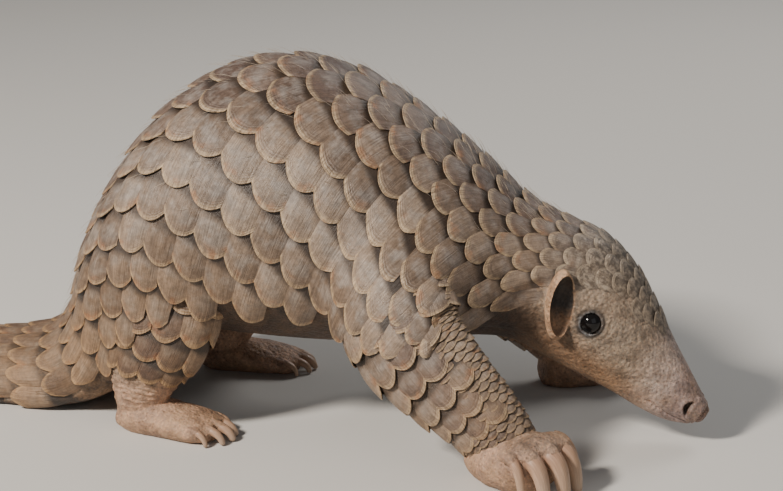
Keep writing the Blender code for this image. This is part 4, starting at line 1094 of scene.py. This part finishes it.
horn, tree, principled = shader("scale_horn")
place = object_place(tree)
plate_map = node(tree, "ShaderNodeUVMap", {"uv_map": "Plate"}).outputs["UV"]
plate = node(tree, "ShaderNodeSeparateXYZ", Vector=plate_map).outputs
tone, rim, flank, beneath, crown, covered = (
    stored(tree, key) for key in ("tone", "rim", "flank", "beneath", "crown", "covered")
)
used = use(tree, grain, Across=plate["X"], Along=plate["Y"], Rim=rim, Seed=tone)
cloud, specks = clouds(tree, place, 130.0, 4.0, 0.6), clouds(tree, place, 420.0, 4.0, 0.7)
mottle = clouds(tree, place, 330.0, 5.0, 0.75)
upper, lower = mix(tree, tone, BACK_DARK, BACK_LIGHT), mix(tree, tone, FLANK_DARK, FLANK_LIGHT)
colour = mix(tree, ranged(tree, flank, 0.12, 0.5), upper, lower)
worn = multiply(tree, ranged(tree, rim, 2.5, 8.0), ranged(tree, cloud, 0.4, 0.62))
# Each plate's free edge is paler horn with a painted highlight.
pale = multiply(tree, ranged(tree, rim, 2.9, 0.5), ranged(tree, used["Streaks"], 0.32, 0.6, 0.35, 1.0))
stain = multiply(tree, ranged(tree, cloud, 0.53, 0.68), ranged(tree, rim, 7.0, 1.5))
head = mix(tree, ranged(tree, specks, 0.4, 0.6), CROWN_DARK, CROWN_LIGHT)
head = mix(tree, ranged(tree, rim, 2.2, 0.5, 0.0, 0.5), head, CROWN_RIM)
layers = ((worn, 0.55, WORN), (pale, 0.8, PALE_RIM_AND_HIGHLIGHT), (stain, 0.6, STAIN), (crown, 0.9, head))
for weight, part, shade in layers:
    colour = mix(tree, multiply(tree, weight, part), colour, shade)
streaky = mix(tree, ranged(tree, used["Streaks"], 0.3, 0.7), (0.68, 0.65, 0.63, 1), (1.24, 1.22, 1.19, 1))
mottled = mix(tree, ranged(tree, mottle, 0.36, 0.64), (0.76, 0.74, 0.72, 1), (1.16, 1.16, 1.16, 1))
colour = shaded(tree, shaded(tree, colour, streaky), mottled)
# The rump's lower parts are warmer. Painted shade darkens each plate under the next ones and its inner face.
spot = node(tree, "ShaderNodeSeparateXYZ", Vector=place).outputs
rear = multiply(tree, ranged(tree, spot["X"], 0.15, 0.04, 0.3, 1.0), ranged(tree, spot["Z"], 0.125, 0.04))
colour = shaded(tree, colour, mix(tree, rear, (1, 1, 1, 1), WARMTH))
gap = multiply(tree, covered, ranged(tree, crown, 0.0, 1.0, 1.0, 0.25))
gap = multiply(tree, ranged(tree, plate["Y"], 0.42, 0.56), gap)
colour = mix(tree, math_node(tree, "MAXIMUM", gap, ranged(tree, beneath, 0.6, 1.0)), colour, SHADOW)
dusty = use(tree, dust, Colour=colour, Place=place, Amount=0.6)
dull = math_node(tree, "ADD", ranged(tree, cloud, 0.3, 0.7, 0.34, 0.52), multiply(tree, dusty["Mask"], 0.4))
relief = bump(tree, 0.85, 0.0007, used["Height"])
connect(tree, principled, Base_Color=dusty["Colour"], Roughness=dull, Normal=relief)

for number, (name, plates) in enumerate(body_plates().items()):
    make_plates(name, body, plates, body_relief, BODY_SEED + number, draped=True)


# Scales of the legs: smaller plates on the outer side, pointing down to the paw.
# They are laid as the body's are, in rows down each leg.
# Each leg's scales: lengths at its stations, columns, first and last row.
LEG_SCALES = {
    "fore": ((15.5, 15.5, 14, 12, 9.5, 8, 7.5), 5, 1.45, 4.7),
    "hind": ((14, 14, 12, 10, 8.5, 8), 5, 1.45, 3.6),
}
# The thin transverse scales on the front of the forearm, laid as above. Places in a row run from 0 at the
# front to 2. Thin scales take those below one share, or all past a station, and large ones leave some free.
THIN_SCALES, THIN_SHARE, THIN_ALL_ROUND = ((2.9,) * 8, 9, 1.6, 5.7), 0.84, 4.5
FRONT_START, FRONT_SHARE, LAST_PLACE, LEG_SEED, THIN_SEED = 2.4, 0.6, 3, 41, 61
LEG_EDGE, LEG_EDGE_FADE, LEG_FLAT, LEG_START = 104, 14.0, 0.1, (1.0, 1.7)


def leg_relief(t, angle):
    """How much the plates stand up: they lie flat inside the leg and under the trunk's lowest plates."""
    stand = np.clip((LEG_EDGE - np.abs(np.degrees(angle))) / LEG_EDGE_FADE, LEG_FLAT, 1.0)
    return stand * fade(t, *LEG_START)


def thin_places(tip):
    return 0, LAST_PLACE if tip > THIN_ALL_ROUND else THIN_SHARE


def leg_plates(limb, lengths, columns, first, last, shares):
    """Staggered rows of plates down a leg, each with the places that shares gives for its tip."""
    plates = []
    last_run = np.interp(last, limb.t_grid, limb.run)
    for index, (tip, step, shown) in enumerate(lay_rows(limb, lengths, first, last_run)):
        start, end = shares(tip)
        for half in range((index + 1) % 2, 2 * columns + 1, 2):
            if start <= half / columns < end:
                plates.append((tip, step, shown, half / (2 * columns) - 0.5, columns, 0.0, 1.0))
    return plates


for number, ((kind, side_name), limb) in enumerate(limbs.items()):
    front = FRONT_SHARE if kind == "fore" else 0
    plates = leg_plates(limb, *LEG_SCALES[kind], lambda tip: (front if tip > FRONT_START else 0, LAST_PLACE))
    make_plates(f"scales_{kind}leg_{side_name}", limb, plates, leg_relief, LEG_SEED + number)
    if kind == "fore":
        plates = leg_plates(limb, *THIN_SCALES, thin_places)
        make_plates(f"scales_forearm_{side_name}", limb, plates, leg_relief, THIN_SEED + number)


# Bristles: sparse pale hairs that grow between the scales of the neck, trunk and rump.
# Each is a thin tapered stem with three sides, rooted at a random place among the scales.
BRISTLES, BRISTLE_SIDES, BRISTLE_RINGS, BRISTLE_COLOUR = 520, 3, 6, (0.42, 0.34, 0.26, 1)
BRISTLE_LENGTH, BRISTLE_RADIUS, BRISTLE_RISE, BRISTLE_DROOP = (5.0, 11.0), 0.13, 0.6, 0.35
BRISTLE_ROOT, BRISTLE_TAPER, BRISTLE_LEAN = 1.5, 0.85, 0.4
BRISTLE_STATIONS, BRISTLE_SPREAD, BRISTLE_WIDEST, BRISTLE_SEED = (7.0, 17.4), 0.12, 0.45, 7
# The part of the map for baking that each bristle takes: the first station and how many the map spans, its
# length, the share of the band round the body, and its width.
MAP_FIRST, MAP_STATIONS, MAP_LENGTH, MAP_BAND, MAP_WIDTH = 6.5, 12, 0.008, 0.9, 0.003

draw = np.random.default_rng(BRISTLE_SEED)
t = draw.uniform(*BRISTLE_STATIONS, BRISTLES)
share = np.clip(draw.normal(0.0, BRISTLE_SPREAD, BRISTLES), -BRISTLE_WIDEST, BRISTLE_WIDEST)
angle = body.angle_at(t, share)
root = drape(body.points(t, angle))
outward = body.normals(t, angle)
tailward = unit(body.points(t + 0.05, angle) - body.points(t - 0.05, angle))
downward = unit(np.cross(tailward, outward)) * np.sign(draw.uniform(-1, 1, BRISTLES))[:, None]
length = draw.uniform(*BRISTLE_LENGTH, BRISTLES)
lean = draw.uniform(-BRISTLE_LEAN, BRISTLE_LEAN, BRISTLES)
rings = []
for u in np.linspace(0, 1, BRISTLE_RINGS):
    away = (BRISTLE_ROOT + BRISTLE_RISE * length * (u - BRISTLE_DROOP * u**2))[:, None] * outward
    centre = root + away + (length * u)[:, None] * tailward + (lean * length * u**2)[:, None] * downward
    size = BRISTLE_RADIUS * (1 - BRISTLE_TAPER * u)
    for turn in np.arange(BRISTLE_SIDES) / BRISTLE_SIDES * 2 * math.pi:
        rings.append(centre + size * (math.cos(turn) * downward + math.sin(turn) * outward))
points = np.array(rings).transpose(1, 0, 2).reshape(-1, 3)
each = BRISTLE_RINGS * BRISTLE_SIDES
faces = repeated(ring_faces(BRISTLE_RINGS, BRISTLE_SIDES), each, BRISTLES)
bristles = closed_piece("bristles", points, faces)
along = np.tile(np.repeat(np.linspace(0, 1, BRISTLE_RINGS), BRISTLE_SIDES), BRISTLES)
beside = np.tile(np.arange(BRISTLE_SIDES) / BRISTLE_SIDES, BRISTLE_RINGS * BRISTLES)
u = (np.repeat(t, each) - MAP_FIRST) / MAP_STATIONS + MAP_LENGTH * along
v = np.repeat(share, each) * MAP_BAND + 0.5 + MAP_WIDTH * beside
store_map(bristles.data, "OFBake", u, v)
bristles.data.materials.append(shader("bristle", Roughness=0.5, Base_Color=BRISTLE_COLOUR)[0])
bristles.data.shade_smooth()
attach(bristles, "root")


# Claws: strong curved horn, much the longest on the fore paws, blunt from digging.
# Each paw's claws are one piece of five, rooted in the toes.
CLAW_RINGS, CLAW_SIDES, CLAW_FLAT, CLAW_START = 40, 28, 0.9, 0.1
CLAW_WIDE, CLAW_TAPER, CLAW_POWER, BLUNT_TIP = 1.1, 0.5, 1.8, (0.93, 0.75, 0.35)
CLAW_ROOT_COLOUR, CLAW_TIP_COLOUR = (0.42, 0.245, 0.16, 1), (0.50, 0.36, 0.26, 1)

claw_horn, tree, principled = shader("claw_horn", Roughness=0.38)
place = object_place(tree)
length = stored(tree, "length")
used = use(tree, grain, Across=stored(tree, "round"), Along=length, Rim=20.0, Seed=0.3)
colour = mix(tree, ranged(tree, length, 0.2, 1.0), CLAW_ROOT_COLOUR, CLAW_TIP_COLOUR)
shade = mix(tree, ranged(tree, used["Streaks"], 0.3, 0.7), (0.66, 0.62, 0.6, 1), (1.12, 1.12, 1.12, 1))
dusty = use(tree, dust, Colour=shaded(tree, colour, shade), Place=place, Amount=0.5)
relief = bump(tree, 0.5, 0.0004, used["Height"])
connect(tree, principled, Base_Color=dusty["Colour"], Normal=relief)

u = np.linspace(CLAW_START, 1, CLAW_RINGS)
taper = CLAW_WIDE - CLAW_TAPER * u**CLAW_POWER
taper[-len(BLUNT_TIP) :] *= BLUNT_TIP
for (kind, side_name), paw in paws.items():
    claws = []
    for claw in CLAWS[kind]:
        centre, path, half_width = claw_path(paw, claw, kind, u)
        size = half_width * taper
        claws.append(swept_tube("claw", centre, path, size, size * CLAW_FLAT, CLAW_SIDES))
        store(claws[-1].data, "length", np.repeat(u, CLAW_SIDES))
        store(claws[-1].data, "round", np.tile(np.abs(np.linspace(-0.7, 0.7, CLAW_SIDES)), CLAW_RINGS))
    piece = claws[0]
    with bpy.context.temp_override(active_object=piece, selected_editable_objects=claws, object=piece):
        bpy.ops.object.join()
    piece.name = piece.data.name = f"claws_{kind}paw_{side_name}"
    piece.data.shade_smooth()
    piece.data.materials.append(claw_horn)
    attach(piece, "root")
    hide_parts(*[f"{kind}claw_{side_name}_{k}" for k in range(1, 6)])


# Floor, light and camera: a pale plain floor under soft studio light, seen from the photograph's side.
# Each light has its place, what it points at, size, power and colour. The floor is a large flat sheet.
FLOOR_COLOUR, FLOOR_HALF = (0.62, 0.60, 0.57, 1), 20
LIGHTS = {
    "key": ((-0.75, -1.25, 1.25), (0.05, 0, 0.08), 0.28, 58.0, (1.0, 0.93, 0.84)),
    "fill": ((1.3, -1.2, 0.9), (0.1, 0, 0.08), 1.4, 3.5, (0.9, 0.95, 1.0)),
    "back": ((0.7, 1.4, 1.3), (0, 0, 0.1), 0.8, 12.0, (1.0, 0.98, 0.95)),
}
SKY_COLOUR, SKY_STRENGTH = (0.8, 0.82, 0.85, 1), 0.17
CAMERA_AZIMUTH, CAMERA_ELEVATION, CAMERA_DISTANCE = math.radians(15.0), math.radians(15.0), 1.0
CAMERA_TARGET, CAMERA_LENS, CAMERA_SENSOR = Vector((0.1454, 0.0, 0.085)), 96.55, 36.0

floor_mesh = bpy.data.meshes.new("floor")
corners = [(FLOOR_HALF * x, FLOOR_HALF * y, 0) for x, y in ((-1, -1), (1, -1), (1, 1), (-1, 1))]
floor_mesh.from_pydata(corners, [], [(0, 1, 2, 3)])
floor = bpy.data.objects.new("floor", floor_mesh)
bpy.context.scene.collection.objects.link(floor)
paper = shader("floor_paper", Roughness=0.9, Specular_IOR_Level=0.2, Base_Color=FLOOR_COLOUR)[0]
floor_mesh.materials.append(paper)

for name, (place, target, size, power, colour) in LIGHTS.items():
    light = bpy.data.lights.new(name, "AREA")
    light.size = size
    light.energy = power
    light.color = colour
    lamp = bpy.data.objects.new(name, light)
    lamp.location = place
    lamp.rotation_euler = (Vector(target) - Vector(place)).to_track_quat("-Z", "Y").to_euler()
    bpy.context.scene.collection.objects.link(lamp)
world = bpy.data.worlds.new("studio")
world.use_nodes = True
connect(world.node_tree, world.node_tree.nodes["Background"], Color=SKY_COLOUR, Strength=SKY_STRENGTH)
bpy.context.scene.world = world

camera = bpy.data.objects.new("camera", bpy.data.cameras.new("camera"))
camera.data.sensor_width = CAMERA_SENSOR
camera.data.lens = CAMERA_LENS
level = math.cos(CAMERA_ELEVATION)
away = Vector((math.sin(CAMERA_AZIMUTH) * level, -math.cos(CAMERA_AZIMUTH) * level, 0.0))
away.z = math.sin(CAMERA_ELEVATION)
camera.location = CAMERA_TARGET + away * CAMERA_DISTANCE
camera.rotation_euler = (-away).to_track_quat("-Z", "Y").to_euler()
bpy.context.scene.collection.objects.link(camera)
bpy.context.scene.camera = camera
